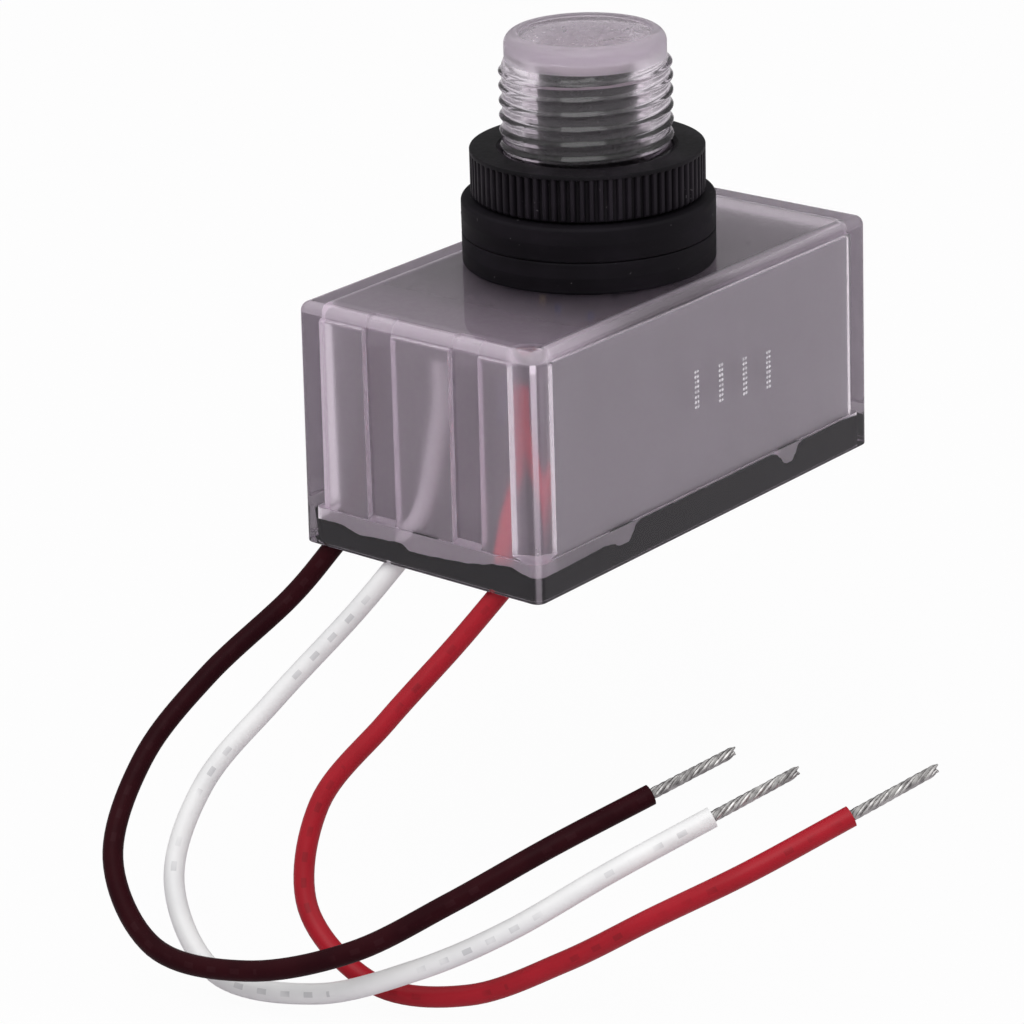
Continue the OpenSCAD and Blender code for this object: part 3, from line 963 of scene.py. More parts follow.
def smooth_path(points: Sequence[Point], per: int, square: bool = False) -> list[Vector]:
    """Smooth curve through points.

    Args:
        points: Points that it passes through.
        per: Steps between two of them.
        square: Whether it starts straight down or up, square to the face that it leaves.

    Returns:
        Points along the curve.
    """
    v = [Vector(p) for p in points]
    first = v[1] - v[0]
    before = v[0] + Vector((first.x, first.y, -first.z)) if square else v[0] - first
    v = [before, *v, v[-1] * 2 - v[-2]]
    path = []
    for a, b, c, d in zip(v, v[1:], v[2:], v[3:]):
        for k in range(per):
            t = k / per
            bow = (a * 2 - b * 5 + c * 4 - d) * t ** 2
            twist = (b * 3 - a - c * 3 + d) * t ** 3
            path.append((b * 2 + (c - a) * t + bow + twist) / 2)
    return path + [v[-2]]


def thread_share(turn: float, z: float, width: float = 0.62) -> float:
    """Height of the thread at a place, from its root at nought to its crest at one.

    Args:
        turn: Angle round the nose.
        z: Height.
        width: Share of the pitch that the ridge takes.

    Returns:
        The share of the thread's depth.
    """
    phase = (z / PITCH - turn / TAU) % 1.0
    return eased(max(0.0, 1.0 - abs(2.0 * phase - 1.0) / width))


@dataclass
class Housing:
    """Clear box and nose, moulded in one and built as one closed skin."""

    half_l: float = 33.5
    half_w: float = 18.0
    roof_z: float = -3.95
    rim_z: float = -34.45
    wall: float = 2.0
    rim_wall: float = 1.3
    ledge_h: float = 4.5
    draft: float = 0.5
    edge_r: float = 1.2
    inner_r: float = 1.1
    bay_r: float = 1.4
    cove: float = 0.7
    post: tuple[Pair, ...] = (
        (0.0, 2.8), (0.45, 2.65), (0.9, 2.5), (1.3, 2.35), (1.65, 1.95), (2.0, 1.52), (2.36, 1.1),
        (2.42, 0.8), (2.48, 0.5), (2.54, 0.2), (2.6, 0.0))
    flat: float = 0.06
    least_r: float = 0.03
    rim_edge: float = 0.15
    corner_steps: int = 8
    rib_y: float = 6.6
    rib_tip_x: float = -30.2
    rib_foot_w: float = 4.5
    rib_tip_w: float = 4.1
    rib_foot_h: float = 0.4
    rib_soft: float = 0.25
    collar_r: float = 9.8
    collar_z: float = 21.25
    tip_z: float = 24.45
    tip_round: float = 1.5
    recess_r: float = 8.1
    recess_depth: float = 0.4
    window_t: float = 2.4
    bore_r: float = 7.75
    foot_r: float = 10.2
    foot_flare: float = 0.4
    thread_low_z: float = -1.2
    thread_steps: int = 172
    run_out: float = 0.8
    flash: float = 0.05
    mismatch: float = 0.03
    around: int = 144
    bore_around: int = 96
    tip_haze: float = 1.15
    # Milky haze on the near corner, standing in as a painted highlight
    window_haze: float = 0.9
    corner_highlight_haze: float = 2.0
    post_satin: float = 1.4
    far_haze: float = 2.4
    ceiling_haze: float = 0.8
    edge_haze: float = 0.45
    rim_haze: float = 1.3
    thread_haze: float = 0.02
    long_steps: int = 16
    end_steps: int = 8
    sharp: float = 34.0

    def grown(self, z: float) -> float:
        """Outward growth of the drafted walls at a height."""
        return (self.roof_z - z) * math.tan(math.radians(self.draft))

    def halves(self, inset: float, z: float) -> Pair:
        """Half length and half width at a height, some way inside the outer wall."""
        grown = self.grown(z)
        return self.half_l + grown - inset, self.half_w + grown - inset

    def outline(self, inset: float, z: float, radius: float, rib: float = 0.0) -> list[Point]:
        """Rounded outline of the box at a height, with the ribs and corner post of its lead end.

        Args:
            inset: Distance inside the outer wall.
            z: Height.
            radius: Rounding of the corners.
            rib: Share of the ribs' depth, above nought where the post stands too.

        Returns:
            The points, with a narrow flat beside each corner so that the walls stay flat.
        """
        half_l, half_w = self.halves(inset, z)
        corners = []
        for k, bend in enumerate(rounded_corners(half_l, half_w, radius, self.corner_steps)):
            lead = Vector((-math.sin(k * TAU / 4), math.cos(k * TAU / 4))) * self.flat
            away = Vector((-lead.y, lead.x))
            turned = [bend[0] - lead, *bend, bend[-1] + away]
            if k == 2 and rib > 0.0:
                turned = [Vector((x - half_l, y - half_w)) for x, y in self.post]
            corners.append([Vector((x, y, z)) for x, y in turned])
        points: list[Point] = []
        for k, corner in enumerate(corners):
            points.extend(corner)
            if k == 1:
                points.extend(self.rib_points(-half_l, z, rib))
                continue
            steps = self.end_steps if k == 3 else self.long_steps
            after = corners[(k + 1) % 4][0]
            points.extend(corner[-1].lerp(after, i / steps) for i in range(1, steps))
        return points

    def bend(self, ring: Sequence[int], corner: int) -> Sequence[int]:
        """Points of an outline's loop that lie on the rounding of one corner at the lead end.

        Args:
            ring: The outline's loop.
            corner: 1 for the far corner, 2 for the near one.

        Returns:
            The points, without the flats beside them.
        """
        in_corner, in_ribs = self.corner_steps + 3, 12
        start = in_corner + self.long_steps - 1 + (in_corner + in_ribs if corner == 2 else 0)
        return ring[start + 1:start + in_corner - 1]

    def rib_points(self, wall_x: float, z: float, rib: float) -> list[Point]:
        """Points of both ribs along the lead end, from +Y to -Y.

        Args:
            wall_x: Place of the wall that carries them.
            z: Height.
            rib: Share of their depth.

        Returns:
            The points.
        """
        soft = self.rib_soft
        tip_x = wall_x + (self.rib_tip_x - wall_x) * rib
        soft_x = wall_x + (self.rib_tip_x - soft - wall_x) * rib
        foot, tip = self.rib_foot_w / 2, self.rib_tip_w / 2
        flank = [(foot, wall_x), (tip, soft_x), (tip - soft, tip_x)]
        points = []
        for middle in (self.rib_y, -self.rib_y):
            points.extend((x, middle + y, z) for y, x in flank)
            points.extend((x, middle - y, z) for y, x in reversed(flank))
        return points

    def thread_rings(self, skin: Skin) -> list[list[int]]:
        """Loops of the threaded length, from the collar down.

        Args:
            skin: Skin that they are added to.

        Returns:
            The loops.
        """
        below = 0.05
        rings = []
        for k in range(self.thread_steps + 1):
            fall = (self.thread_low_z - self.collar_z + below) * k / self.thread_steps
            z = self.collar_z - below + fall
            fade = min(1.0, (self.collar_z - z) / self.run_out)
            crest = self.collar_r + (CREST_R - self.collar_r) * fade
            root = self.collar_r + (ROOT_R - self.collar_r) * fade
            points = []
            for n in range(self.around):
                turn = TAU * n / self.around
                r = root + (crest - root) * thread_share(turn, z)
                seam = self.flash if n in (0, self.around // 2) else 0.0
                half = self.mismatch if n > self.around // 2 else 0.0
                points.append(polar(min(CREST_R, r + seam - half * fade), turn, z))
            rings.append(skin.ring(points, inner=self.thread_haze))
        return rings

    def nose(self, skin: Skin) -> list[int]:
        """Outside of the nose, from its window down to the roof.

        Args:
            skin: Skin that it is added to.

        Returns:
            The last loop, on the roof.
        """
        floor_z = self.tip_z - self.recess_depth
        e = self.tip_round
        edge = [(self.recess_r - 0.3, floor_z), (self.recess_r - 0.2, floor_z)]
        pane = skin.turned(edge, self.around, inner=self.window_haze)
        skin.cap(pane[0])
        lip = arc(self.recess_r - 0.15, floor_z + 0.15, 0.15, -90, 0, 3)
        lip += arc(self.recess_r + 0.2, self.tip_z - 0.2, 0.2, 180, 90, 3)
        lip += arc(self.collar_r - e, self.tip_z - e, e, 90, 0, 12)[1:]
        lip += [(self.collar_r, self.collar_z + 0.02)]
        loops = skin.turned(lip, self.around, inner=self.tip_haze)
        skin.band(pane[-1], loops[0])
        threads = self.thread_rings(skin)
        r, flare = self.foot_r, self.foot_flare
        foot = [(r, self.thread_low_z - flare), (r, self.roof_z + flare), (r + flare, self.roof_z)]
        feet = skin.rounds(foot, self.around)
        skin.bands([loops[-1], *threads, *feet])
        return feet[-1]

    def box(self, skin: Skin, nose_foot: Sequence[int]) -> list[int]:
        """Roof, walls and rim, then the inner walls up to the ceiling.

        Args:
            skin: Skin that they are added to.
            nose_foot: Loop of the nose on the roof.

        Returns:
            The loop round the ceiling.
        """
        e, flat, edge = self.edge_r, self.flat, self.rim_edge
        ledge_z = self.rim_z + self.ledge_h
        rings = [skin.ring(self.outline(e + flat, self.roof_z, self.least_r))]
        for across, z in arc(-e, self.roof_z - e, e, 90, 0, 8):
            outline = self.outline(-across, z, max(e + across, self.least_r))
            rings.append(skin.ring(outline, inner=self.edge_haze))
        for z, share in ((self.roof_z - e - flat, 1.0), (self.rim_z + edge + flat, 0.3)):
            rings.append(skin.ring(self.outline(0.0, z, e)))
            # Milky haze on the rounding of the near vertical corner: a painted highlight in place of
            # the bright strip of the corner's reflection
            skin.mark(self.bend(rings[-1], 2)[3:6], inner=self.corner_highlight_haze * share)
        for across, z in arc(-edge, self.rim_z + edge, edge, 0, -90, 3):
            rings.append(skin.ring(self.outline(-across, z, e)))
        rings.append(skin.ring(self.outline(self.rim_wall - 0.1, self.rim_z, self.inner_r)))
        for z in (self.rim_z + 0.1, self.rim_z + 0.2, ledge_z):
            outline = self.outline(self.rim_wall, z, self.inner_r)
            rings.append(skin.ring(outline, inner=self.rim_haze))
        bay = [(self.wall, ledge_z, 0.0), (self.wall, ledge_z + self.rib_foot_h, 1.0)]
        across, top = -self.wall - self.cove, self.roof_z - self.wall - self.cove
        curve = arc(across, top, self.cove, 0, 90, 6)
        bay += [(-across, z, 1.0) for across, z in curve]
        for inset, z, rib in bay:
            outline = self.outline(inset, z, self.bay_r - (inset - self.wall), rib)
            rings.append(skin.ring(outline, inner=1.0))
            skin.mark(self.bend(rings[-1], 1), inner=self.far_haze)
            skin.mark(self.bend(rings[-1], 2)[2:6], satin=self.post_satin)
        inset, z, rib = bay[-1]
        rings.append(skin.ring(self.outline(inset + flat, z, 1.0, rib), inner=self.ceiling_haze))
        skin.zip(nose_foot, rings[0])
        skin.bands(rings)
        return rings[-1]

    def inside(self, skin: Skin, ceiling: Sequence[int]) -> None:
        """Ceiling, and the bore up to the window.

        Args:
            skin: Skin that they are added to.
            ceiling: Loop round the ceiling.
        """
        z, window_z = self.roof_z - self.wall, self.tip_z - self.window_t
        r, count, soft = self.bore_r, self.bore_around, 0.3
        mouth = skin.ring(circle(r + soft, z, count), inner=self.ceiling_haze)
        bore = skin.rounds([(r, z + soft), (r, 8.0), (r, window_z - soft - 0.1)], count, satin=1.0)
        edge = arc(r - soft, window_z - soft, soft, 0, 90, 3)
        window = skin.rounds(edge, count, inner=self.window_haze)
        skin.bands([mouth, *bore, *window])
        skin.cap(window[-1])
        skin.zip(mouth, ceiling)

    def build(self) -> None:
        """Make the housing and put it in the place of its solid."""
        skin = Skin()
        self.inside(skin, self.box(skin, self.nose(skin)))
        made = skin.build("clear_housing", CLEAR, self.sharp)
        place(made, Body.ROOT, Slot.CLEAR, "housing")


@dataclass
class LockNut:
    """Knurled lock nut with a threaded bore."""

    low_z: float = 4.55
    height: float = 5.8
    crest_r: float = 14.3
    rib_h: float = 0.55
    ribs: int = 78
    bore_r: float = 10.7
    bevel: float = 0.45
    band: float = 0.5
    lead_in: float = 0.3
    thread_gap: float = 0.15
    thread_steps: int = 40
    around: int = 144
    wave: tuple[Pair, ...] = (
        (0.0, 0.0), (0.14, 0.0), (0.29, 0.06), (0.37, 0.6), (0.47, 0.96), (0.64, 1.0), (0.81, 0.96),
        (0.91, 0.6))

    def knurl(self, skin: Skin) -> list[list[int]]:
        """Loops of the ribbed outside, from below to the top.

        Args:
            skin: Skin that they are added to.

        Returns:
            The loops.
        """
        b, high, top = self.bevel, self.height, self.height - self.band
        # Height above the underside, cut from the crests and share of the ribs' depth
        levels = [
            (0.0, b, 1.0), (b * 0.18, b * 0.53, 1.0), (b * 0.5, b * 0.18, 1.0), (b, 0.0, 1.0),
            (top - 0.45, 0.0, 1.0), (top - 0.2, 0.0, 0.85), (top - 0.07, 0.0, 0.45), (top, 0.0, 0.0),
            (high - 0.16, 0.0, 0.0), (high - 0.05, 0.05, 0.0), (high, 0.16, 0.0)]
        loops = []
        for h, cut, depth in levels:
            # Share of each point on a rib crest: lighter there as part wear, part painted highlight,
            # and darker in the grooves as painted shade
            points, worn_and_lit = [], []
            for i in range(self.ribs):
                for share, lift in self.wave:
                    turn = TAU * (i + share) / self.ribs
                    r = self.crest_r - max(cut, self.rib_h * (1.0 - lift) * depth)
                    points.append(polar(r, turn, self.low_z + h))
                    worn_and_lit.append(lift * depth)
            loop = skin.ring(points)
            skin.marks.setdefault("wear_and_rib_light", {}).update(zip(loop, worn_and_lit))
            loops.append(loop)
        skin.bands(loops)
        return loops

    def bore(self, skin: Skin) -> list[list[int]]:
        """Loops of the threaded bore, from below to its lead-in at the top.

        Args:
            skin: Skin that they are added to.

        Returns:
            The loops.
        """
        top, r_in = self.low_z + self.height, self.bore_r + self.lead_in
        loops = skin.rounds([(self.bore_r, self.low_z)], self.around)
        for k in range(self.thread_steps + 1):
            z = self.low_z + 0.3 + (self.height - self.lead_in - 0.4) * k / self.thread_steps
            points = []
            for n in range(self.around):
                turn = TAU * n / self.around
                r = ROOT_R + (CREST_R - ROOT_R) * thread_share(turn, z) + self.thread_gap
                points.append(polar(r, turn, z))
            loops.append(skin.ring(points))
        mouth = [(self.bore_r, top - self.lead_in + 0.02), (r_in - 0.05, top - 0.05), (r_in, top)]
        loops += skin.rounds(mouth, self.around)
        skin.bands(loops)
        return loops

    def build(self) -> None:
        """Make the nut and put it in the place of its solid."""
        skin = Skin()
        outside, bore = self.knurl(skin), self.bore(skin)
        skin.zip(bore[0], outside[0])
        skin.zip(bore[-1], outside[-1])
        place(skin.build("knurled_nut", NUT_PLASTIC), Body.NUT, Slot.BLACK_PLASTIC, "lock_nut")


@dataclass
class Gasket:
    """Flat rubber ring with rounded edges and a trace of flash round its middle."""

    name: str
    node: str
    body: Body
    low_z: float
    thick: float
    outer_r: float = 15.5
    bore_r: float = 10.85
    low_edge: float = 0.4
    high_edge: float = 0.4
    bore_edge: float = 0.15
    flash: float = 0.025
    around: int = 160

    def build(self) -> None:
        """Make the ring and put it in the place of its solid."""
        r, low, high = self.outer_r, self.low_z, self.low_z + self.thick
        below, above, cut, beside = self.low_edge, self.high_edge, self.bore_edge, 0.1
        middle, eased_r = (low + high) / 2, self.bore_r + cut
        profile = [(self.bore_r, low + cut), (eased_r, low), (r - below - beside, low)]
        profile += arc(r - below, low + below, below, -90, 0, 8)
        profile += [(r, middle - beside), (r + self.flash, middle), (r, middle + beside)]
        profile += arc(r - above, high - above, above, 0, 90, 8)
        profile += [(r - above - beside, high), (eased_r, high), (self.bore_r, high - cut)]
        skin = Skin()
        skin.turned(profile, self.around, closed=True)
        place(skin.build(self.name, RUBBER), self.body, Slot.RUBBER, self.node)


@dataclass
class Potting:
    """Resin that seals the base and wets the wall; its uneven top edge dips at the tabs."""

    housing: Housing
    face_z: float = -34.35
    bed_z: float = -31.5
    inset: float = 1.25
    plate_inset: float = 2.45
    far_gap: float = 0.1
    far_gap_x: float = -25.0
    far_gap_run: float = 3.0
    corner_r: float = 1.0
    long_steps: int = 190
    end_steps: int = 100
    waver: float = 0.06
    sharp: float = 60.0
    crown: tuple[Pair, ...] = ((1.4, 0.0), (0.6, 0.02), (0.0, 0.05))
    shoulder: tuple[Pair, ...] = ((0.0, 0.1), (0.03, 0.0), (0.35, 0.06), (0.8, 0.22))
    end_edge: tuple[Pair, ...] = (
        (-17.0, 2.8), (-15.6, 3.1), (-13.4, 3.6), (-11.0, 3.4), (-9.0, 2.9), (-6.0, 2.5),
        (-2.8, 2.3), (-0.8, 2.1), (2.0, 2.1), (3.5, 2.8), (6.7, 2.6), (10.0, 2.4), (13.0, 3.1),
        (17.0, 3.0))
    side_edge: tuple[Pair, ...] = (
        (-33.0, 2.8), (-30.0, 2.9), (-24.0, 3.0), (-20.6, 3.1), (-19.6, 3.0), (-18.7, 2.8),
        (-18.0, 2.4), (-17.3, 2.25), (-15.9, 2.25), (-15.2, 3.0), (-14.4, 4.1), (-13.4, 4.38),
        (13.2, 4.38), (14.3, 4.1), (15.2, 3.4), (15.9, 2.5), (16.6, 2.25), (17.7, 2.25),
        (18.4, 3.0), (19.2, 4.1), (20.2, 4.38), (28.0, 4.4), (33.0, 4.1))

    def edge_z(self, x: float, y: float) -> float:
        """Height of the resin's edge at a place on the wall.

        Args:
            x: Place along the box.
            y: Place across the box.

        Returns:
            The height.
        """
        on_end = abs(abs(x) - self.housing.half_l) < abs(abs(y) - self.housing.half_w)
        table, at = (self.end_edge, y if x < 0 else -y) if on_end else (self.side_edge, x)
        at = min(max(at, table[0][0]), table[-1][0])
        level = table[-1][1]
        for (a, low), (b, high) in zip(table, table[1:]):
            if a <= at <= b:
                level = low + (high - low) * eased((at - a) / (b - a))
                break
        return self.housing.rim_z + level + self.waver * noise(Vector((x * 0.9, y * 0.9, 3.7)))

    def loop(self, inset: float) -> list[Pair]:
        """Fine outline inside the wall at the rim's height.

        Args:
            inset: Distance inside the outer wall.

        Returns:
            Its points, about a third of a millimetre apart.
        """
        bends = rounded_corners(*self.housing.halves(inset, self.housing.rim_z), self.corner_r, 6)
        points = []
        for k, bend in enumerate(bends):
            after = bends[(k + 1) % 4][0]
            steps = self.long_steps if k % 2 == 0 else self.end_steps
            points.extend(bend)
            points.extend(bend[-1].lerp(after, i / steps) for i in range(1, steps))
        outline = []
        for x, y in points:
            share = (self.far_gap_x - x) / self.far_gap_run if y > 0.0 else 0.0
            outline.append((x, y - self.far_gap * min(max(share, 0.0), 1.0)))
        return outline

    def build(self) -> None:
        """Make the resin and put it in the place of its solid."""
        skin = Skin()
        tops = [self.edge_z(x, y) for x, y in self.loop(self.inset)]
        rings = []
        for more, drop in self.crown:
            outline = self.loop(self.inset + more)
            rings.append(skin.ring((x, y, self.face_z - drop) for x, y in outline))
        for more, drop in self.shoulder:
            outline = self.loop(self.inset + more)
            rings.append(skin.ring((x, y, top - drop) for (x, y), top in zip(outline, tops)))
        rings.append(skin.ring((x, y, self.bed_z) for x, y in self.loop(self.plate_inset)))
        skin.bands(rings)
        skin.caps(rings)
        made = skin.build("potting_resin", RESIN, self.sharp)
        place(made, Body.ROOT, Slot.RESIN, "potting")


@dataclass
class Photocell:
    """Round photocell on its tube, with two wires down to the board."""

    radius: float = 5.5
    low_z: float = 19.75
    high_z: float = 21.75
    edge: float = 0.4
    leg_y: float = 1.7
    leg_low_z: float = -10.35
    leg_r: float = 0.35

    def build(self) -> None:
        """Make the cell and put it in the place of its solid."""
        skin = Skin()
        r, low, high = self.radius, self.low_z, self.high_z
        edge = self.edge
        profile = [(r - 0.3, low), (r, low + 0.3), (r, high - 0.5)]
        profile += arc(r - edge, high - edge, edge, 0, 90, 4)
        skin.caps(skin.turned(profile, 72))
        for side in (-1, 1):
            heights = (self.leg_low_z, 0.0, self.low_z + 0.05)
            path = smooth_path([(0, side * self.leg_y, z) for z in heights], 4)
            skin.sweep(path, lambda share: self.leg_r, 12)
        place(skin.build("photocell_disc", CELL), Body.ROOT, Slot.CELL, "photocell")


@dataclass
class Lead:
    """One lead: its free length outside, its tail inside and its twisted strands."""

    name: str
    exit: Point
    route: Sequence[Point]
    jacket: Jacket
    slot: Slot
    diameter: float = 2.5
    strip_l: float = 11.5
    wires: int = 6
    wire_r: float = 0.25
    lay_r: float = 0.44
    twist: float = 6.0
    buried: float = 0.6
    stagger: float = 0.35
    draw_in: float = 0.12
    splay: float = 0.25
    splay_from: float = 0.85
    strand_steps: int = 48
    cut_l: float = 0.02
    cut_edge: float = 0.12
    # Brighter copy of the jacket for the tail inside the housing, as painted light
    lit_copy: Jacket | None = None
    tail_route: Sequence[Point] = (
        (0.0, 0.0, 0.0), (2.0, -2.5, 6.0), (4.5, -2.5, 12.0), (6.5, -2.5, 18.9), (6.5, -2.5, 24.8))

    def moved(self, route: Sequence[Point]) -> list[Vector]:
        """A route in the frame of the model."""
        return [Vector(p) + Vector(self.exit) for p in route]

    def strands(self) -> bpy.types.Object:
        """Twisted bare wires from the end of the jacket.

        Returns:
            The new piece.
        """
        ends = smooth_path(self.moved(self.route), 2, True)[-2:]
        aim = (ends[1] - ends[0]).normalized()
        across = aim.orthogonal().normalized()
        over = aim.cross(across)
        skin = Skin()
        for w in range(self.wires + 1):
            lay_r = self.lay_r if w < self.wires else 0.0
            reach = self.strip_l - self.stagger * ((w * 2) % 5) / 2
            path = []
            for k in range(self.strand_steps + 1):
                share = k / self.strand_steps
                far = -self.buried + (reach + self.buried) * share
                opened = self.splay * max(0.0, share - self.splay_from)
                c, s, _ = polar(1.0, TAU * (w / self.wires - far / self.twist), 0.0)
                aside = (across * c + over * s) * (lay_r * (1.0 - self.draw_in * share + opened))
                path.append(ends[1] + aim * far + aside)
            skin.sweep(path, lambda share: self.wire_r * min(1.0, 0.4 + 12 * (1.0 - share)), 8)
        made = skin.build(f"{self.name}_twisted_strands", TINNED)
        return place(made, Body.ROOT, Slot.TINNED, f"{self.name}_strands")

    def build(self) -> None:
        r = self.diameter / 2
        path = smooth_path(self.moved(self.route), 12)
        skin = Skin()
        ends = path + [path[-1] + (path[-1] - path[-2]).normalized() * self.cut_l]
        skin.sweep(ends, lambda share: r if share < 1.0 else r - self.cut_edge, 28)
        made = skin.build(f"{self.name}_wire", self.jacket)
        cable = place(made, Body.ROOT, self.slot, f"{self.name}_lead")
        [[c * MM for c in p] for p in path[::3]]
        self.strands()
        tail = Skin()
        tail.sweep(smooth_path(self.moved(self.tail_route), 8, True), lambda share: r, 24)
        # The tail inside takes the brighter copy of its jacket: painted light
        inner = tail.build(f"{self.name}_inner_wire", self.lit_copy or self.jacket)
        place(inner, Body.ROOT, self.slot, f"{self.name}_tail")


# Routes of the leads from their exits in the resin, and the steeper one inside of the red lead
BLACK_ROUTE = (
    (0, 0, 0), (-5, 4, -7), (-15, 9, -15), (-25, 11, -23), (-34, 8, -32), (-38, -2, -39),
    (-36, -15, -39), (-31, -27, -35), (-24, -36, -29), (-15, -44, -23), (-4, -50, -19))
WHITE_ROUTE = (
    (0, 0, 0), (-5, 4, -7), (-14, 9, -16), (-23, 13, -25), (-30, 12, -35), (-33, 3, -43),
    (-30, -10, -43), (-26, -22, -38), (-21, -32, -32), (-13, -41, -25), (-3, -48, -20))
RED_ROUTE = (
    (0, 0, 0), (-5, 4, -7), (-12, 9, -15.5), (-19, 14, -25), (-24, 12, -36), (-24, 2, -43),
    (-21, -10, -42), (-17, -21, -36), (-13, -31, -29), (-7, -40, -23), (3, -47, -18))
RED_TAIL = (
    (0.0, 0.0, 0.0), (0.9, -0.3, 6.0), (2.4, -1.2, 12.0), (5.6, -2.5, 18.9), (6.0, -2.5, 24.8))


@dataclass
class TallyMarks:
    """Four plain strokes of jet-printed dots on the long wall."""

    housing: Housing
    strokes: int = 4
    start: Pair = (-2.9, -14.5)
    step: Pair = (4.9, -0.55)
    columns: Pair = (0.0, 0.5)
    dots: int = 8
    dot_gap: float = 0.64
    dot_r: float = 0.21
    lift: float = 0.012

    def build(self) -> None:
        """Make the dots just proud of the wall."""
        skin = Skin()
        levels = ((1.0, -0.004), (1.0, self.lift * 0.5), (0.6, self.lift))
        spots = product(range(self.strokes), range(self.dots), self.columns)
        for stroke, k, column in spots:
            x = self.start[0] + self.step[0] * stroke + column
            z = self.start[1] + self.step[1] * stroke - self.dot_gap * k
            y = -self.housing.halves(0.0, z)[1]
            r = self.dot_r * (1.0 + 0.18 * noise(Vector((x * 3.1, z * 2.7, 1.3))))
            loops = []
            for size, out in levels:
                ring = circle(r * size, 0.0, 10)
                loops.append(skin.ring((x + a, y - out, z + b) for a, b, _ in ring))
            skin.bands(loops)
            skin.caps(loops)
        place(skin.build("dotted_marks", INK), Body.ROOT, Slot.CLEAR)


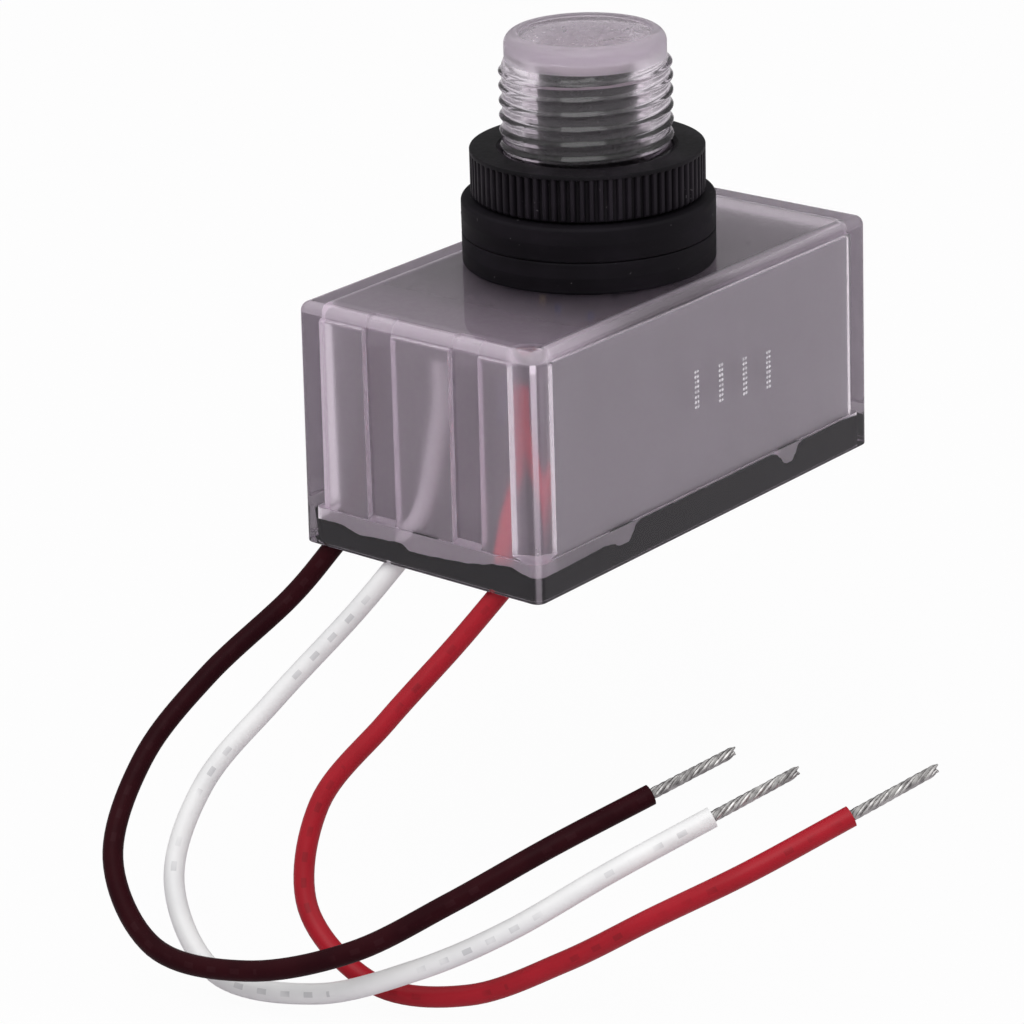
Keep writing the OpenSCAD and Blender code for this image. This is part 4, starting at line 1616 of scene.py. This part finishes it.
@dataclass
class Studio:
    """Camera at the photograph's angle, soft light and a pale floor."""

    azimuth: float = -50.392
    elevation: float = 21.085
    roll: float = -1.656
    distance: float = 482.85
    focal_px: float = 3925.04
    image_px: float = 1024.0
    sensor: float = 36.0
    aim_z: float = -13.95
    aim_px: Pair = (591.092, 334.297)
    floor_z: float = -80.3
    floor_side: float = 6.0
    sky: float = 0.45
    zenith: float = 1.0
    mirrored: float = 0.1
    through: float = 0.85
    panel: float = 0.2
    panel_way: Pair = (0.77, 0.64)
    lamp_aim: Point = (0.0, 0.0, -0.02)

    def camera(self) -> None:
        """Set the camera that frames the photograph."""
        az, el, roll = (math.radians(v) for v in (self.azimuth, self.elevation, self.roll))
        back = Vector((math.sin(az) * math.cos(el), -math.cos(az) * math.cos(el), math.sin(el)))
        level = Vector((0, 0, 1)).cross(back).normalized()
        upright = back.cross(level)
        right = level * math.cos(roll) + upright * math.sin(roll)
        up = upright * math.cos(roll) - level * math.sin(roll)
        per_px = self.distance / self.focal_px
        aside = (self.image_px / 2 - self.aim_px[0]) * per_px
        above = (self.aim_px[1] - self.image_px / 2) * per_px
        place_at = Vector((0, 0, self.aim_z)) + back * self.distance + right * aside + up * above
        data = bpy.data.cameras.new("photo_camera")
        data.sensor_width = self.sensor
        data.lens = self.sensor * self.focal_px / self.image_px
        data.clip_start, data.clip_end = 0.01, 20.0
        camera = bpy.data.objects.new("photo_camera", data)
        axes = Matrix((right, up, back)).transposed().to_4x4()
        camera.matrix_world = Matrix.Translation(place_at * MM) @ axes
        bpy.context.scene.collection.objects.link(camera)
        bpy.context.scene.camera = camera

    def world(self) -> None:
        """Soft sky, brighter overhead, with a dark panel on the far side, and white to the lens."""
        world = bpy.data.worlds.new("studio_sky")
        bpy.context.scene.world = world
        world.use_nodes = True
        g = Graph(world.node_tree)
        x, y, z = g.parts(g.value("ShaderNodeTexCoord", output="Generated"))
        toward = x * self.panel_way[0] + y * self.panel_way[1]
        panel = g.step(toward, 0.3, 0.7) * (1.0 - g.step(z, 0.5, 0.85))
        tone = g.mix((self.sky,) * 3, (self.zenith,) * 3, g.step(z, 0.0, 0.9))
        tone = g.mix(tone, (self.panel,) * 3, panel)
        seen = g.seen(self.mirrored, (1.0 - panel) * self.through)
        light = g.value("ShaderNodeBackground", None, {"Color": tone})
        white = g.value("ShaderNodeBackground", None, {"Color": (1, 1, 1, 1)})
        g.close(g.either(light, white, seen), kind="World")

    def lamp(self, name: str, place_at: Point, size: float, watts: float) -> None:
        """Add a square soft lamp that faces the object.

        Args:
            name: Name of the lamp.
            place_at: Its place in metres.
            size: Its side in metres.
            watts: Its power.
        """
        data = bpy.data.lights.new(name, "AREA")
        data.size, data.energy = size, watts
        made = bpy.data.objects.new(name, data)
        made.location = place_at
        made.visible_transmission = False
        aim = Vector(place_at) - Vector(self.lamp_aim)
        made.rotation_mode = "QUATERNION"
        made.rotation_quaternion = aim.to_track_quat("Z", "Y")
        bpy.context.scene.collection.objects.link(made)

    def floor(self) -> None:
        """Make the floor under the leads."""
        mesh = bpy.data.meshes.new("studio_floor")
        side = self.floor_side
        corners = [(-side, -side), (side, -side), (side, side), (-side, side)]
        mesh.from_pydata([(x, y, self.floor_z * MM) for x, y in corners], [], [(0, 1, 2, 3)])
        mesh.materials.append(StudioFloor("studio_floor").material())
        made = bpy.data.objects.new("studio_floor", mesh)
        bpy.context.scene.collection.objects.link(made)

    def build(self) -> None:
        """Set the camera, the light and the floor."""
        bpy.context.scene.view_settings.view_transform = "Standard"
        self.camera()
        self.world()
        self.lamp("key_softbox", (-0.5, -0.25, 0.7), 0.7, 3.0)
        self.lamp("fill_softbox", (0.45, -0.75, 0.35), 0.6, 0.8)
        self.floor()
        log.info("studio: camera, sky, two lamps and a floor")


def dress_solids() -> None:
    """Give each solid that stays in view its finish."""
    for name, finish in NODE_FINISHES.items():
        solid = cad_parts[name]
        if not solid.material_slots:
            solid.data.materials.append(None)
        for slot in solid.material_slots:
            slot.material = finish.material()
        log.info("solid %s: %s", name, finish.name)


def main() -> None:
    """Build the studio, then each sub-assembly in order."""
    logging.basicConfig(level=logging.INFO, format="%(message)s")
    Studio().build()
    leads = [
        Lead("black", (-31.016, 15.016, -34.35), BLACK_ROUTE, BLACK_JACKET, Slot.BLACK_WIRE),
        Lead(
            "white", (-31.016, 5.0, -34.35), WHITE_ROUTE, WHITE_JACKET, Slot.WHITE_WIRE,
            lit_copy=LIT_WHITE_COPY),
        Lead(
            "red", (-31.016, -11.016, -34.35), RED_ROUTE, RED_JACKET, Slot.RED_WIRE,
            lit_copy=LIT_RED_COPY, tail_route=RED_TAIL),
    ]
    for lead in leads:
        lead.build()
    housing = Housing()
    housing.build()
    LockNut().build()
    upper = Gasket(
        "upper_gasket_ring", "upper_gasket", Body.WASHER, 0.04, 4.21, low_edge=0.2, high_edge=0.5)
    lower = Gasket("lower_gasket_ring", "lower_gasket", Body.ROOT, -3.94, 3.9, high_edge=0.2)
    for gasket in (upper, lower):
        gasket.build()
    Potting(housing).build()
    Photocell().build()
    TallyMarks(housing).build()
    dress_solids()


if __name__ == "__main__":
    main()
